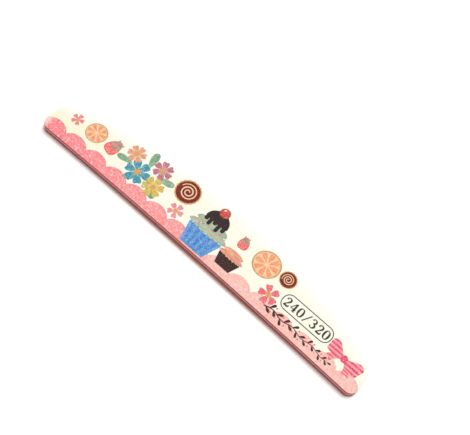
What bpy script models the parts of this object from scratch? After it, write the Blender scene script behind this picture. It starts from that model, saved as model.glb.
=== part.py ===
"""Half-moon nail file, modelled as the laminate that it is.

Two abrasive sheets, two foam pads and a stiff core board are bonded with four
adhesive films and die-cut together to one half-moon outline. The printed sheet
faces +Z and the grey sheet faces -Z. The straight edge faces -Y and is slightly
hollow. The origin is the centre of the underside's bounding box. Lengths are in
metres.
"""

import math

import bpy

# Outline of the die, seen from above
FILE_LENGTH = 0.178
FILE_WIDTH = 0.0285
END_WIDTH = 0.0145
END_TAPER = 0.0006
STRAIGHT_EDGE_HOLLOW = 0.00125
STRAIGHT_CORNER_RADIUS = 0.0037
ARC_CORNER_RADIUS = 0.0055

# Thickness of each layer
PRINTED_SHEET_THICKNESS = 0.00032
GREY_SHEET_THICKNESS = 0.00032
FOAM_THICKNESS = 0.00115
CORE_THICKNESS = 0.00115
FILM_THICKNESS = 0.00006

# Clearance of the faces that are bonded to each other
BOND_CLEARANCE = 0.00002

# How far each kind of layer stays inside the die's outline
SHEET_SETBACK = 0.0
FOAM_SETBACK = 0.00008
CORE_SETBACK = 0.00003
FILM_SETBACK = 0.0002

# Rounding that the die leaves on the edges of each kind of layer
SHEET_EDGE_RADIUS = 0.00008
FOAM_EDGE_RADIUS = 0.00022
CORE_EDGE_RADIUS = 0.0001
FILM_EDGE_RADIUS = 0.0

# Number of steps in the curved stretches
LONG_ARC_STEPS = 40
STRAIGHT_EDGE_STEPS = 8
CORNER_STEPS = 6
EDGE_RESOLUTION = 0

# Colour, roughness and metallic value of each material
FINISHES = {
    "printed_paper": ((0.93, 0.91, 0.80), 0.85, 0.0),
    "grey_paper": ((0.76, 0.75, 0.73), 0.75, 0.0),
    "rose_foam": ((0.62, 0.16, 0.19), 0.90, 0.0),
    "pink_board": ((0.80, 0.38, 0.40), 0.55, 0.0),
    "adhesive": ((0.85, 0.78, 0.66), 0.40, 0.0),
}


def arc_points(centre, radius, start_angle, end_angle, steps):
    """Points of a circular arc, both ends included."""
    centre_x, centre_y = centre
    points = []
    for step in range(steps + 1):
        angle = start_angle + (end_angle - start_angle) * step / steps
        points.append((centre_x + radius * math.cos(angle), centre_y + radius * math.sin(angle)))
    return points


def direction(start, end):
    """Angle of the line from start to end."""
    return math.atan2(end[1] - start[1], end[0] - start[0])


def half_moon_outline(setback):
    """Outline of the file, counter-clockwise, moved inwards by setback.

    Six arcs follow each other: the hollow long edge, a corner, a corner, the bowed
    long edge and the two corners of the other end. Each corner touches its long edge,
    and the blunt end is the line that touches both corners.
    """
    half_length = FILE_LENGTH / 2
    straight_y = -FILE_WIDTH / 2

    straight_corner = (half_length - STRAIGHT_CORNER_RADIUS, straight_y + STRAIGHT_CORNER_RADIUS)
    hollow_reach = straight_corner[0] ** 2 + STRAIGHT_EDGE_HOLLOW ** 2
    hollow_radius = hollow_reach / (2 * STRAIGHT_EDGE_HOLLOW) - STRAIGHT_CORNER_RADIUS
    hollow_centre = (0, straight_y + STRAIGHT_EDGE_HOLLOW - hollow_radius)

    arc_reach = half_length - END_TAPER
    arc_rise = FILE_WIDTH - END_WIDTH
    arc_radius = (arc_reach ** 2 + arc_rise ** 2) / (2 * arc_rise)
    arc_centre = (0, straight_y + FILE_WIDTH - arc_radius)
    corner_x = arc_reach - ARC_CORNER_RADIUS
    corner_rise = math.sqrt((arc_radius - ARC_CORNER_RADIUS) ** 2 - corner_x ** 2)
    arc_corner = (corner_x, arc_centre[1] + corner_rise)

    corner_distance = math.dist(straight_corner, arc_corner)
    radius_difference = STRAIGHT_CORNER_RADIUS - ARC_CORNER_RADIUS
    end_angle = direction(straight_corner, arc_corner) - math.acos(radius_difference / corner_distance)
    arc_start = direction(arc_centre, arc_corner)
    hollow_end = direction(hollow_centre, straight_corner)

    right_end = arc_points(
        straight_corner, STRAIGHT_CORNER_RADIUS - setback, hollow_end - math.pi, end_angle, CORNER_STEPS)
    right_end += arc_points(
        arc_corner, ARC_CORNER_RADIUS - setback, end_angle, arc_start, CORNER_STEPS)
    bowed_edge = arc_points(
        arc_centre, arc_radius - setback, arc_start, math.pi - arc_start, LONG_ARC_STEPS)
    left_end = [(-x, y) for x, y in reversed(right_end)]
    hollow_edge = arc_points(
        hollow_centre, hollow_radius + setback, math.pi - hollow_end, hollow_end, STRAIGHT_EDGE_STEPS)
    return right_end + bowed_edge[1:-1] + left_end + hollow_edge[1:-1]


def make_material(name):
    """Principled BSDF material of one finish."""
    colour, roughness, metallic = FINISHES[name]
    material = bpy.data.materials.new(name)
    material.use_nodes = True
    shader = material.node_tree.nodes["Principled BSDF"]
    shader.inputs["Base Color"].default_value = (*colour, 1.0)
    shader.inputs["Roughness"].default_value = roughness
    shader.inputs["Metallic"].default_value = metallic
    material.diffuse_color = (*colour, 1.0)
    return material


def make_layer(name, underside_z, thickness, setback, edge_radius, material, collection):
    """One die-cut layer: a filled 2D curve, extruded by half its thickness each way."""
    curve = bpy.data.curves.new(name, "CURVE")
    curve.dimensions = "2D"
    curve.fill_mode = "BOTH"
    curve.extrude = thickness / 2 - edge_radius
    curve.bevel_depth = edge_radius
    curve.bevel_resolution = EDGE_RESOLUTION
    points = half_moon_outline(setback + edge_radius)
    spline = curve.splines.new("POLY")
    spline.points.add(len(points) - 1)
    for point, (x, y) in zip(spline.points, points):
        point.co = (x, y, 0, 1)
    spline.use_cyclic_u = True
    curve.materials.append(material)
    layer = bpy.data.objects.new(name, curve)
    layer.location = (0, 0, underside_z + thickness / 2)
    collection.objects.link(layer)


def stack_of_layers():
    """The layers from the underside up: name, thickness, setback, edge radius, finish."""
    film = (FILM_THICKNESS, FILM_SETBACK, FILM_EDGE_RADIUS, "adhesive")
    foam = (FOAM_THICKNESS, FOAM_SETBACK, FOAM_EDGE_RADIUS, "rose_foam")
    core = (CORE_THICKNESS, CORE_SETBACK, CORE_EDGE_RADIUS, "pink_board")
    grey_sheet = (GREY_SHEET_THICKNESS, SHEET_SETBACK, SHEET_EDGE_RADIUS, "grey_paper")
    printed_sheet = (PRINTED_SHEET_THICKNESS, SHEET_SETBACK, SHEET_EDGE_RADIUS, "printed_paper")
    return [
        ("grey_abrasive_sheet", *grey_sheet),
        ("lower_sheet_adhesive", *film),
        ("lower_foam_pad", *foam),
        ("lower_core_adhesive", *film),
        ("core_board", *core),
        ("upper_core_adhesive", *film),
        ("upper_foam_pad", *foam),
        ("upper_sheet_adhesive", *film),
        ("printed_abrasive_sheet", *printed_sheet),
    ]


def remove_scene_objects():
    """Empty the open scene."""
    for scene_object in list(bpy.data.objects):
        bpy.data.objects.remove(scene_object)


def main():
    """Lay the layers on each other, from the underside up."""
    remove_scene_objects()
    collection = bpy.data.collections.new("nail_file")
    bpy.context.scene.collection.children.link(collection)
    materials = {name: make_material(name) for name in FINISHES}
    underside_z = 0
    for name, thickness, setback, edge_radius, finish in stack_of_layers():
        make_layer(name, underside_z, thickness, setback, edge_radius, materials[finish], collection)
        underside_z += thickness + BOND_CLEARANCE


main()
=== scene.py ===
"""Looks of a half-moon nail file, built around its packed layers.

The file lies on its grey face with its print up. Each layer gets its fine die-cut mesh
and its material, and the print is laid on the upper sheet as thin films of ink. Lengths
are in metres and colours are given as display values from 0 to 255. The script is laid
out as an add-on, whose operators run in order from main().
"""

import math

import bpy
import numpy as np
from mathutils import Matrix, Vector


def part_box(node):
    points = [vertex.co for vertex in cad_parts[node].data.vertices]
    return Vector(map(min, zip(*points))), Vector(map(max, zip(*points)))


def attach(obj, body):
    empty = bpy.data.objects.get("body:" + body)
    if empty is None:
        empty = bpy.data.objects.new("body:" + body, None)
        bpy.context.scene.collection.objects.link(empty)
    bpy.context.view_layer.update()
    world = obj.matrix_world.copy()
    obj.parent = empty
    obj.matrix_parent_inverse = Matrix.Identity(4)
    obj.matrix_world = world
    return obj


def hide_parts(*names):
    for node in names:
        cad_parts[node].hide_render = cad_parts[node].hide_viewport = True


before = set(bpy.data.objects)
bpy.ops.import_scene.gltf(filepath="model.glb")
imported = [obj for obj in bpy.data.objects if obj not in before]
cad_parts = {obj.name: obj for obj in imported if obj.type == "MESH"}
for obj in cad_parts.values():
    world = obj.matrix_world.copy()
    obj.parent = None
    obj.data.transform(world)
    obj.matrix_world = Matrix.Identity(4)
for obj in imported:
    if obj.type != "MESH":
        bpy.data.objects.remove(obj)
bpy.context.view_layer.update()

bl_info = {
    "name": "Half-moon nail file",
    "version": (1, 0, 0),
    "blender": (4, 5, 0),
    "location": "3D Viewport > Sidebar > Nail File",
    "description": "Dresses the layers of a half-moon nail file and lays its print",
    "category": "Object",
}

BODY = "root"

# Layers as the frame names them
PRINTED_SHEET = "printed_abrasive_sheet"
GREY_SHEET = "grey_abrasive_sheet"
FOAM_PADS = ("upper_foam_pad", "lower_foam_pad")
CORE_BOARD = "core_board"
ADHESIVE_FILMS = (
    "upper_sheet_adhesive", "upper_core_adhesive", "lower_core_adhesive", "lower_sheet_adhesive")

# The record's material slot of each layer
SLOTS = {
    PRINTED_SHEET: "printed_paper",
    GREY_SHEET: "grey_paper",
    CORE_BOARD: "pink_board",
    **dict.fromkeys(FOAM_PADS, "rose_foam"),
    **dict.fromkeys(ADHESIVE_FILMS, "adhesive"),
}

FULL_TURN = 2 * math.pi


# Properties

def as_light(red, green, blue):
    """Linear light of a colour given as display values from 0 to 255."""
    levels = [value / 255 for value in (red, green, blue)]
    return tuple(
        level / 12.92 if level <= 0.04045 else ((level + 0.055) / 1.055) ** 2.4 for level in levels)


def a_number(name, description, default, **kind):
    """Property that holds a number."""
    return bpy.props.FloatProperty(name=name, description=description, default=default, **kind)


def a_length(name, description, default):
    """Property that holds a length in metres."""
    return a_number(name, description, default, precision=5, subtype="DISTANCE", unit="LENGTH")


def an_angle(name, description, degrees):
    """Property that holds an angle, given in degrees."""
    return a_number(name, description, math.radians(degrees), subtype="ANGLE", unit="ROTATION")


def a_colour(name, red, green, blue):
    """Property that holds a colour, given as display values from 0 to 255."""
    return bpy.props.FloatVectorProperty(
        name=name, description="Colour of the " + name.lower(),
        default=as_light(red, green, blue), size=3, min=0, max=1, subtype="COLOR")


def face_span(axis):
    """Reach of the frame's printed sheet along an axis."""
    low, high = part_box(PRINTED_SHEET)
    return high[axis] - low[axis]


class DieSizes(bpy.types.PropertyGroup):
    """Outline that cuts all the layers."""

    length: a_length("Length", "Length of the file", face_span(0))
    width: a_length("Width", "Greatest width of the file", face_span(1))
    end_width: a_length("End width", "Width of the blunt ends, without their rounding", 0.0145)
    end_taper: a_length("End taper", "How far the blunt ends lean inwards", 0.0006)
    hollow: a_length("Hollow", "Depth of the hollow in the straight edge", 0.00125)
    straight_corner: a_length("Straight corner", "Radius of the straight edge's corners", 0.0037)
    bowed_corner: a_length("Bowed corner", "Radius of the bowed edge's corners", 0.0055)


class LayerFinish(bpy.types.PropertyGroup):
    """Fine form and colours of the laminate's layers."""

    grain_height: a_length("Grain height", "How far the coarsest grains stand above the paper", 0.00009)
    grain_size: a_length("Grain size", "Width of the abrasive grains", 0.00016)
    coarse_grains: bpy.props.IntProperty(
        name="Coarse grains", description="Grains that stand out of the printed face", default=9000, min=1)
    ridge_height: a_length("Ridge height", "Depth of the grey face's crinkles", 0.00009)
    ridge_spacing: a_length("Ridge spacing", "Distance from one crinkle to the next", 0.00052)
    ridge_length: a_length("Ridge length", "Length of a crinkle across the file", 0.0019)
    foam_bulge: a_length("Foam bulge", "How far the foam's cut edge swells", 0.00006)
    foam_cell: a_length("Foam cell", "Width of the foam's cells", 0.00013)
    cut_ripple: a_length("Cut ripple", "Depth of the ripples that the die leaves in an edge", 0.000025)
    cut_ripple_spacing: a_length("Cut ripple spacing", "Distance between those ripples", 0.0011)
    ground: a_colour("Printed ground", 254, 254, 241)
    ground_mottle: a_colour("Ground mottle", 252, 244, 206)
    ground_bare: a_colour("Ground beside the bowed edge", 254, 255, 250)
    ground_aged: a_colour("Ground near the left end", 252, 244, 206)
    paper_edge: a_colour("Paper's cut edge", 198, 116, 118)
    grey: a_colour("Grey face", 236, 236, 235)
    # Painted shade in the hollows of the crinkles
    grey_crinkle_shade: a_colour("Grey face's hollows", 198, 199, 201)
    grey_rim: a_colour("Grey face's rim", 190, 180, 176)
    # Painted shade: darkened to stand for the shade at the foot of the cut edge, besides the sheet's own
    # colour
    grey_edge_with_painted_shade: a_colour("Grey sheet's cut edge", 124, 74, 64)
    foam: a_colour("Foam", 210, 84, 94)
    # Also the colour of the painted shade on the foam's lower part
    foam_pit: a_colour("Foam's open cells", 150, 46, 54)
    core: a_colour("Core board", 243, 172, 166)
    core_streak: a_colour("Core board's streaks", 222, 136, 132)
    film: a_colour("Adhesive film", 214, 168, 150)


class PrintSizes(bpy.types.PropertyGroup):
    """Sizes of the printed motifs."""

    ink_step: a_length("Ink step", "Thickness of one film of ink", 0.000007)
    margin: a_length("Margin", "Bare margin between the print and the die's outline", 0.00007)
    # Painted glare: the print pales towards the left end
    painted_glare_reach: a_length("Painted glare end", "How far from the left end the print has paled", 0.0042)
    border_pitch: a_length("Border pitch", "Distance from one scallop to the next", 0.0127)
    border_height: a_length("Border height", "How far the scallops reach onto the face", 0.0068)
    border_rise: a_length("Border rise", "Height of the scallops' middles above the edge", 0.0012)
    frame_length: a_length("Frame length", "Length of the frame round the grades", 0.0261)
    frame_height: a_length("Frame height", "Height of the frame round the grades", 0.00745)
    frame_corner: a_length("Frame corner", "Corner radius of that frame", 0.0033)
    frame_line: a_length("Frame line", "Width of the frame's line", 0.00042)
    digit_height: a_length("Digit height", "Height of the digits", 0.00435)
    digit_pitch: a_length("Digit pitch", "Distance from one digit to the next", 0.00347)
    digit_weight: a_number("Digit weight", "How heavy the digits' strokes are", 1.18, min=0)
    sprig_line: a_length("Sprig line", "Width of the sprig's stem", 0.00055)
    blossom: a_length("Blossom", "Radius of the largest blossom", 0.0062)
    citrus: a_length("Citrus slice", "Radius of the largest citrus slice", 0.0066)
    biscuit: a_length("Biscuit", "Radius of the largest biscuit", 0.0055)
    strawberry: a_length("Strawberry", "Length of the largest strawberry", 0.0088)
    cupcake_width: a_length("Cupcake width", "Width of the largest cupcake", 0.0192)
    cupcake_height: a_length("Cupcake height", "Height of the largest cupcake with its cherry", 0.0252)
    bow_width: a_length("Bow width", "Width of the ribbon bow", 0.018)


class InkColours(bpy.types.PropertyGroup):
    """Colours of the printing inks."""

    coral: a_colour("Coral ink", 250, 124, 134)
    blush: a_colour("Blush ink", 251, 192, 181)
    chocolate: a_colour("Chocolate ink", 112, 36, 22)
    caramel: a_colour("Caramel ink", 224, 160, 84)
    orange: a_colour("Orange ink", 252, 158, 104)
    peach: a_colour("Peach ink", 254, 206, 160)
    rose: a_colour("Rose ink", 248, 88, 104)
    petal_pink: a_colour("Petal pink ink", 252, 170, 178)
    teal: a_colour("Teal ink", 58, 184, 190)
    cobalt: a_colour("Cobalt ink", 46, 96, 190)
    lemon: a_colour("Lemon ink", 226, 196, 62)
    leaf: a_colour("Leaf ink", 96, 172, 124)
    plum: a_colour("Plum ink", 184, 92, 130)
    salmon: a_colour("Salmon ink", 244, 160, 132)
    sage: a_colour("Sage ink", 176, 196, 172)
    black: a_colour("Black ink", 34, 28, 27)
    red: a_colour("Red ink", 206, 50, 36)
    blue: a_colour("Blue ink", 74, 156, 222)
    magenta: a_colour("Magenta ink", 244, 52, 112)
    line: a_colour("Line ink", 50, 42, 34)
    bark: a_colour("Bark ink", 64, 34, 26)
    white: a_colour("White ink", 253, 250, 240)


class StudioSettings(bpy.types.PropertyGroup):
    """Camera, lamp, sky and floor."""

    target_x: a_length("Target X", "Where the camera looks, along the file", 0.0015)
    target_y: a_length("Target Y", "Where the camera looks, across the file", 0.0141)
    distance: a_length("Distance", "Distance from the camera to its target", 0.4073)
    lens: a_number("Lens", "Focal length of the camera", 71.6, unit="CAMERA")
    sensor: a_number("Sensor", "Width of the camera's sensor", 36.0, unit="CAMERA")
    tilt: an_angle("Tilt", "Camera's angle from straight above", 26.9)
    swing: an_angle("Swing", "Direction from which the camera looks", 25.5)
    roll: an_angle("Roll", "Turn of the camera about its own axis", 45.88)
    sky: a_number("Sky", "Strength of the even light from all sides", 0.44, min=0)
    key: a_number("Key light", "Light that the key gives to a level face", 0.58, min=0)
    key_height: an_angle("Key height", "Height of the key light above the horizon", 71)
    key_swing: an_angle("Key swing", "Direction of the key light, from the bowed edge's side", 8)
    key_softness: an_angle("Key softness", "Angle that the key light fills", 30)
    floor_size: a_length("Floor size", "Width of the floor", 24.0)
    floor_drop: a_length("Floor drop", "Clearance between the floor and the file", 0.00002)
    floor: a_colour("Floor", 240, 238, 236)
    floor_white: bpy.props.FloatVectorProperty(
        name="Floor white", description="How much brighter the floor looks to the camera, by colour",
        default=(1.5, 1.48, 1.47), size=3, min=0)
    # Painted contact shadow on the floor beside the file
    contact_reach: a_length("Contact reach", "How far the file darkens the floor beside it", 0.0021)
    contact_fade: a_length("Contact fade", "How far from its middle the file's contact is weakest", 0.089)
    contact: bpy.props.FloatVectorProperty(
        name="Contact", description="Share of each colour that the floor keeps where the file touches it",
        default=(0.58, 0.29, 0.165), size=3, min=0, max=1)


# Objects and meshes

def in_scene(name, data):
    """New object of the scene."""
    made = bpy.data.objects.new(name, data)
    bpy.context.scene.collection.objects.link(made)
    return made


def discard(made):
    """Remove an object and its mesh."""
    mesh = made.data
    bpy.data.objects.remove(made)
    bpy.data.meshes.remove(mesh)


def new_mesh(name, points, faces=()):
    """Mesh of those points and faces."""
    mesh = bpy.data.meshes.new(name)
    mesh.from_pydata(points, [], faces)
    return mesh


def keep(mesh, name, values, domain="POINT"):
    """Store a number for each point or face of a mesh."""
    values = np.ascontiguousarray(values, np.float32)
    mesh.attributes.new(name, "FLOAT", domain).data.foreach_set("value", values)


def keep_vectors(mesh, name, values):
    """Store three numbers for each point of a mesh."""
    values = np.asarray(values, np.float32).ravel()
    mesh.attributes.new(name, "FLOAT_VECTOR", "POINT").data.foreach_set("vector", values)


def finish_piece(piece, replaced=()):
    """Attach a finished piece to the body it rides on, and hide the frame's parts that it replaces."""
    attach(piece, BODY)
    if replaced:
        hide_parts(*replaced)


# Node trees

def plug(tree, socket, value):
    """Give an input its value, or link what feeds it: a socket, a node's first output or several."""
    if isinstance(value, bpy.types.Node):
        tree.links.new(value.outputs[0], socket)
    elif isinstance(value, bpy.types.NodeSocket):
        tree.links.new(value, socket)
    elif isinstance(value, list):
        for source in reversed(value):
            plug(tree, socket, source)
    elif socket.type == "RGBA":
        socket.default_value = (*value, 1.0)
    else:
        socket.default_value = value


def add_node(tree, kind, inputs=None, **settings):
    """Add a node, set it up and feed its inputs, which are named or numbered."""
    node = tree.nodes.new(kind)
    for name, value in settings.items():
        setattr(node, name, value)
    for key, value in (inputs or {}).items():
        plug(tree, node.inputs[key], value)
    return node


def maths(tree, operation, *values):
    """Result of a Math node."""
    return add_node(tree, "ShaderNodeMath", dict(enumerate(values)), operation=operation).outputs[0]


def blended(tree, first, second, first_weight, second_weight):
    """Weighted sum of two values."""
    return maths(tree, "MULTIPLY_ADD", first, first_weight, maths(tree, "MULTIPLY", second, second_weight))


def vector_maths(tree, operation, first, second):
    """Vector that a Vector Math node makes of two vectors."""
    return add_node(tree, "ShaderNodeVectorMath", {0: first, 1: second}, operation=operation).outputs[0]


def scaled(tree, vector, scale):
    """Vector times a number."""
    return add_node(
        tree, "ShaderNodeVectorMath", {0: vector, "Scale": scale}, operation="SCALE").outputs[0]


def as_vector(tree, x=0.0, y=0.0, z=0.0):
    """Vector of three numbers."""
    return add_node(tree, "ShaderNodeCombineXYZ", {0: x, 1: y, 2: z}).outputs[0]


def axes(tree, vector):
    """The three numbers of a vector."""
    return add_node(tree, "ShaderNodeSeparateXYZ", {0: vector}).outputs


def between(tree, value, start, end, low=0.0, high=1.0, smooth=True):
    """Value mapped from the range start to end onto low to high, and kept in it."""
    return add_node(
        tree, "ShaderNodeMapRange", {0: value, 1: start, 2: end, 3: low, 4: high},
        interpolation_type="SMOOTHSTEP" if smooth else "LINEAR").outputs[0]


def mixed(tree, share, first, second, blend="MIX"):
    """Colour mixed from two colours."""
    return add_node(
        tree, "ShaderNodeMix", {0: share, 6: first, 7: second},
        data_type="RGBA", blend_type=blend).outputs[2]


def noise(tree, vector, size, detail=2.0, roughness=0.5, output=0):
    """Noise whose lumps are about as wide as size."""
    inputs = {"Vector": vector, "Scale": 1 / size, "Detail": detail, "Roughness": roughness}
    return add_node(tree, "ShaderNodeTexNoise", inputs).outputs[output]


def mottle(tree, vector, size, start, end, low=0.0, high=1.0, detail=2.0, roughness=0.5):
    """Noise whose range start to end is mapped onto low to high."""
    return between(tree, noise(tree, vector, size, detail, roughness), start, end, low, high)


# Material trees

def new_material(name):
    """Material with a Principled BSDF, its tree, that shader and the place on the object."""
    material = bpy.data.materials.new(name)
    material.use_nodes = True
    tree = material.node_tree
    place = add_node(tree, "ShaderNodeTexCoord").outputs["Object"]
    return material, tree, tree.nodes["Principled BSDF"], place


def attribute(tree, name, output="Fac"):
    """Value that the mesh keeps under that name."""
    return add_node(tree, "ShaderNodeAttribute", attribute_name=name).outputs[output]


def dress(tree, shader, colour, roughness, specular=0.5):
    """Give a shader its colour and its gloss."""
    plug(tree, shader.inputs["Base Color"], colour)
    plug(tree, shader.inputs["Roughness"], roughness)
    shader.inputs["Specular IOR Level"].default_value = specular


def add_bump(tree, shader, height, distance, strength):
    """Bump of that height in metres, on one shader."""
    bump = add_node(
        tree, "ShaderNodeBump", {"Height": height, "Distance": distance, "Strength": strength})
    plug(tree, shader.inputs["Normal"], bump)


# Shape trees

def made_once(name, build, *details):
    """Shape tree of that name, built at its first use."""
    return bpy.data.node_groups.get(name) or build(name, *details)


def new_shape_tree(name, sockets):
    """Geometry tree with named inputs, and what gives them."""
    tree = bpy.data.node_groups.new(name, "GeometryNodeTree")
    tree.interface.new_socket("Geometry", in_out="OUTPUT", socket_type="NodeSocketGeometry")
    for socket_name, kind in {"Geometry": "Geometry", **sockets, "Material": "Material"}.items():
        tree.interface.new_socket(socket_name, in_out="INPUT", socket_type="NodeSocket" + kind)
    return tree, tree.nodes.new("NodeGroupInput").outputs


def end_shape_tree(tree, given, geometry):
    """Close a geometry tree with real copies and its material."""
    real = add_node(tree, "GeometryNodeRealizeInstances", {0: geometry})
    clad = add_node(
        tree, "GeometryNodeSetMaterial", {"Geometry": real, "Material": given["Material"]})
    plug(tree, tree.nodes.new("NodeGroupOutput").inputs[0], clad)
    return tree


def vertex_place(tree):
    """Place of each vertex."""
    return add_node(tree, "GeometryNodeInputPosition").outputs[0]


def named_value(tree, name, kind="FLOAT"):
    """Value that the geometry keeps under that name."""
    return add_node(
        tree, "GeometryNodeInputNamedAttribute", {"Name": name}, data_type=kind).outputs[0]


def turn_about_z(tree, angle):
    """Rotation about the Z axis."""
    return add_node(tree, "FunctionNodeEulerToRotation", {0: as_vector(tree, z=angle)})


def random_value(tree, low, high, seed):
    """Random number from low to high."""
    return add_node(
        tree, "FunctionNodeRandomValue", {2: low, 3: high, "Seed": seed}, data_type="FLOAT").outputs[1]


def grown(name, mesh, tree, values):
    """New object of that name, with the mesh that a geometry tree makes of mesh."""
    source = in_scene(name + "_source", mesh)
    modifier = source.modifiers.new(tree.name, "NODES")
    modifier.node_group = tree
    for socket in tree.interface.items_tree:
        if socket.in_out == "INPUT" and socket.name in values:
            modifier[socket.identifier] = values[socket.name]
    graph = bpy.context.evaluated_depsgraph_get()
    made = bpy.data.meshes.new_from_object(
        source.evaluated_get(graph), preserve_all_data_layers=True, depsgraph=graph)
    discard(source)
    if not made.polygons:
        raise RuntimeError(f"{name} came out empty")
    made.name = name
    return in_scene(name, made)


# Die-cut outline

def arc_points(centre, radius, start_angle, end_angle, pitch):
    """Points of a circular arc, both ends included, about a pitch apart."""
    steps = max(2, math.ceil(radius * abs(end_angle - start_angle) / pitch))
    angles = np.linspace(start_angle, end_angle, steps + 1)
    return np.stack([centre[0] + radius * np.cos(angles), centre[1] + radius * np.sin(angles)], 1)


def direction(start, end):
    """Angle of the line from start to end."""
    return math.atan2(end[1] - start[1], end[0] - start[0])


def resampled(points, count):
    """The same line as count + 1 points, evenly spaced along it."""
    legs = np.linalg.norm(np.diff(points, axis=0), axis=1)
    reach = np.concatenate([[0], np.cumsum(legs)])
    places = np.linspace(0, reach[-1], count + 1)
    return np.stack([np.interp(places, reach, points[:, axis]) for axis in (0, 1)], 1)


class Die:
    """The die's outline: a hollow edge, a bowed edge, four corners and two blunt ends."""

    ARC_PITCH = 0.0002
    ALLOWANCE = 0.000006

    def __init__(self, sizes):
        self.half_length = sizes.length / 2
        straight_y = -sizes.width / 2
        self.straight_radius = sizes.straight_corner
        self.bowed_radius = sizes.bowed_corner
        self.straight_corner = (self.half_length - sizes.straight_corner, straight_y + sizes.straight_corner)
        hollow_reach = self.straight_corner[0] ** 2 + sizes.hollow ** 2
        self.hollow_radius = hollow_reach / (2 * sizes.hollow) - sizes.straight_corner
        self.hollow_centre = (0, straight_y + sizes.hollow - self.hollow_radius)

        arc_reach = self.half_length - sizes.end_taper
        arc_rise = sizes.width - sizes.end_width
        self.arc_radius = (arc_reach ** 2 + arc_rise ** 2) / (2 * arc_rise)
        self.arc_centre = (0, straight_y + sizes.width - self.arc_radius)
        corner_x = arc_reach - sizes.bowed_corner
        corner_rise = math.sqrt((self.arc_radius - sizes.bowed_corner) ** 2 - corner_x ** 2)
        self.bowed_corner = (corner_x, self.arc_centre[1] + corner_rise)

        corner_distance = math.dist(self.straight_corner, self.bowed_corner)
        turn = math.acos((sizes.straight_corner - sizes.bowed_corner) / corner_distance)
        self.end_angle = direction(self.straight_corner, self.bowed_corner) - turn
        self.arc_start = direction(self.arc_centre, self.bowed_corner)
        self.hollow_end = direction(self.hollow_centre, self.straight_corner)

    def straight_y(self, x):
        """Height of the hollow edge at x."""
        return self.hollow_centre[1] + math.sqrt(self.hollow_radius ** 2 - x ** 2)

    def bowed_y(self, x):
        """Height of the bowed edge at x."""
        return self.arc_centre[1] + math.sqrt(self.arc_radius ** 2 - x ** 2)

    def place(self, along_share, across_share):
        """Point of the face: along from -1 to 1 of the half length, across from edge to edge."""
        x = along_share * self.half_length
        low, high = self.straight_y(x), self.bowed_y(x)
        return x, low + (high - low) * across_share

    def chains(self, setback, count):
        """The outline moved inwards, as a lower and an upper chain from left end to right end."""
        setback += self.ALLOWANCE
        arcs = (
            (self.hollow_centre, self.hollow_radius + setback, math.pi / 2, self.hollow_end),
            (self.straight_corner, self.straight_radius - setback,
             self.hollow_end - math.pi, self.end_angle),
            (self.bowed_corner, self.bowed_radius - setback, self.end_angle, self.arc_start),
            (self.arc_centre, self.arc_radius - setback, self.arc_start, math.pi / 2))
        hollow, low_corner, high_corner, bow = (arc_points(*arc, self.ARC_PITCH) for arc in arcs)
        middle = (low_corner[-1:] + high_corner[:1]) / 2
        low_right = np.concatenate([hollow, low_corner[1:], middle])
        high_right = np.concatenate([middle, high_corner, bow[1:]])
        mirror = np.array([-1, 1])
        lower = np.concatenate([low_right[:0:-1] * mirror, low_right])
        upper = np.concatenate([high_right * mirror, high_right[-2::-1]])
        return resampled(lower, count), resampled(upper, count)

    def ring(self, setback, count):
        """The outline moved inwards, counter-clockwise from the left end, as 2 * count points."""
        lower, upper = self.chains(setback, count)
        return np.concatenate([lower, upper[-2:0:-1]])

    def rim_distance(self, vertices):
        """Distance from each vertex to the outline."""
        x, y = np.abs(vertices[:, 0]), vertices[:, 1]
        to_bow = self.arc_radius - np.hypot(x, y - self.arc_centre[1])
        to_hollow = np.hypot(x, y - self.hollow_centre[1]) - self.hollow_radius
        low_x, low_y = self.straight_corner
        high_x, high_y = self.bowed_corner
        along_end = (x - low_x) * math.cos(self.end_angle) + (y - low_y) * math.sin(self.end_angle)
        distance = np.minimum(np.minimum(to_bow, to_hollow), self.straight_radius - along_end)
        in_low = self.straight_radius - np.hypot(x - low_x, y - low_y)
        distance = np.where((x > low_x) & (y < low_y), np.minimum(distance, in_low), distance)
        in_high = self.bowed_radius - np.hypot(x - high_x, y - high_y)
        return np.where((x > high_x) & (y > high_y), np.minimum(distance, in_high), distance).clip(0)


def face_grid(ring, z, rungs, rows):
    """Inner points of a face, in rows between the two chains of a ring."""
    lower = ring[1:rungs]
    upper = ring[:rungs:-1]
    shares = np.linspace(0, 1, rows + 1)[1:-1]
    points = lower[:, None] + (upper - lower)[:, None] * shares[None, :, None]
    heights = np.full((*points.shape[:2], 1), z)
    return np.concatenate([points, heights], 2).reshape(-1, 3)


def face_polygons(first_ring, first_inner, rungs, rows):
    """Faces of one side, counter-clockwise as seen from above."""
    across = []
    for rung in range(1, rungs):
        inner = first_inner + (rung - 1) * (rows - 1)
        across.append([first_ring + rung, *range(inner, inner + rows - 1), first_ring + 2 * rungs - rung])
    faces = []
    for row in range(rows):
        faces.append((first_ring, across[0][row], across[0][row + 1]))
        for left, right in zip(across, across[1:]):
            faces.append((left[row], right[row], right[row + 1], left[row + 1]))
        faces.append((across[-1][row], first_ring + rungs, across[-1][row + 1]))
    return faces


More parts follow.
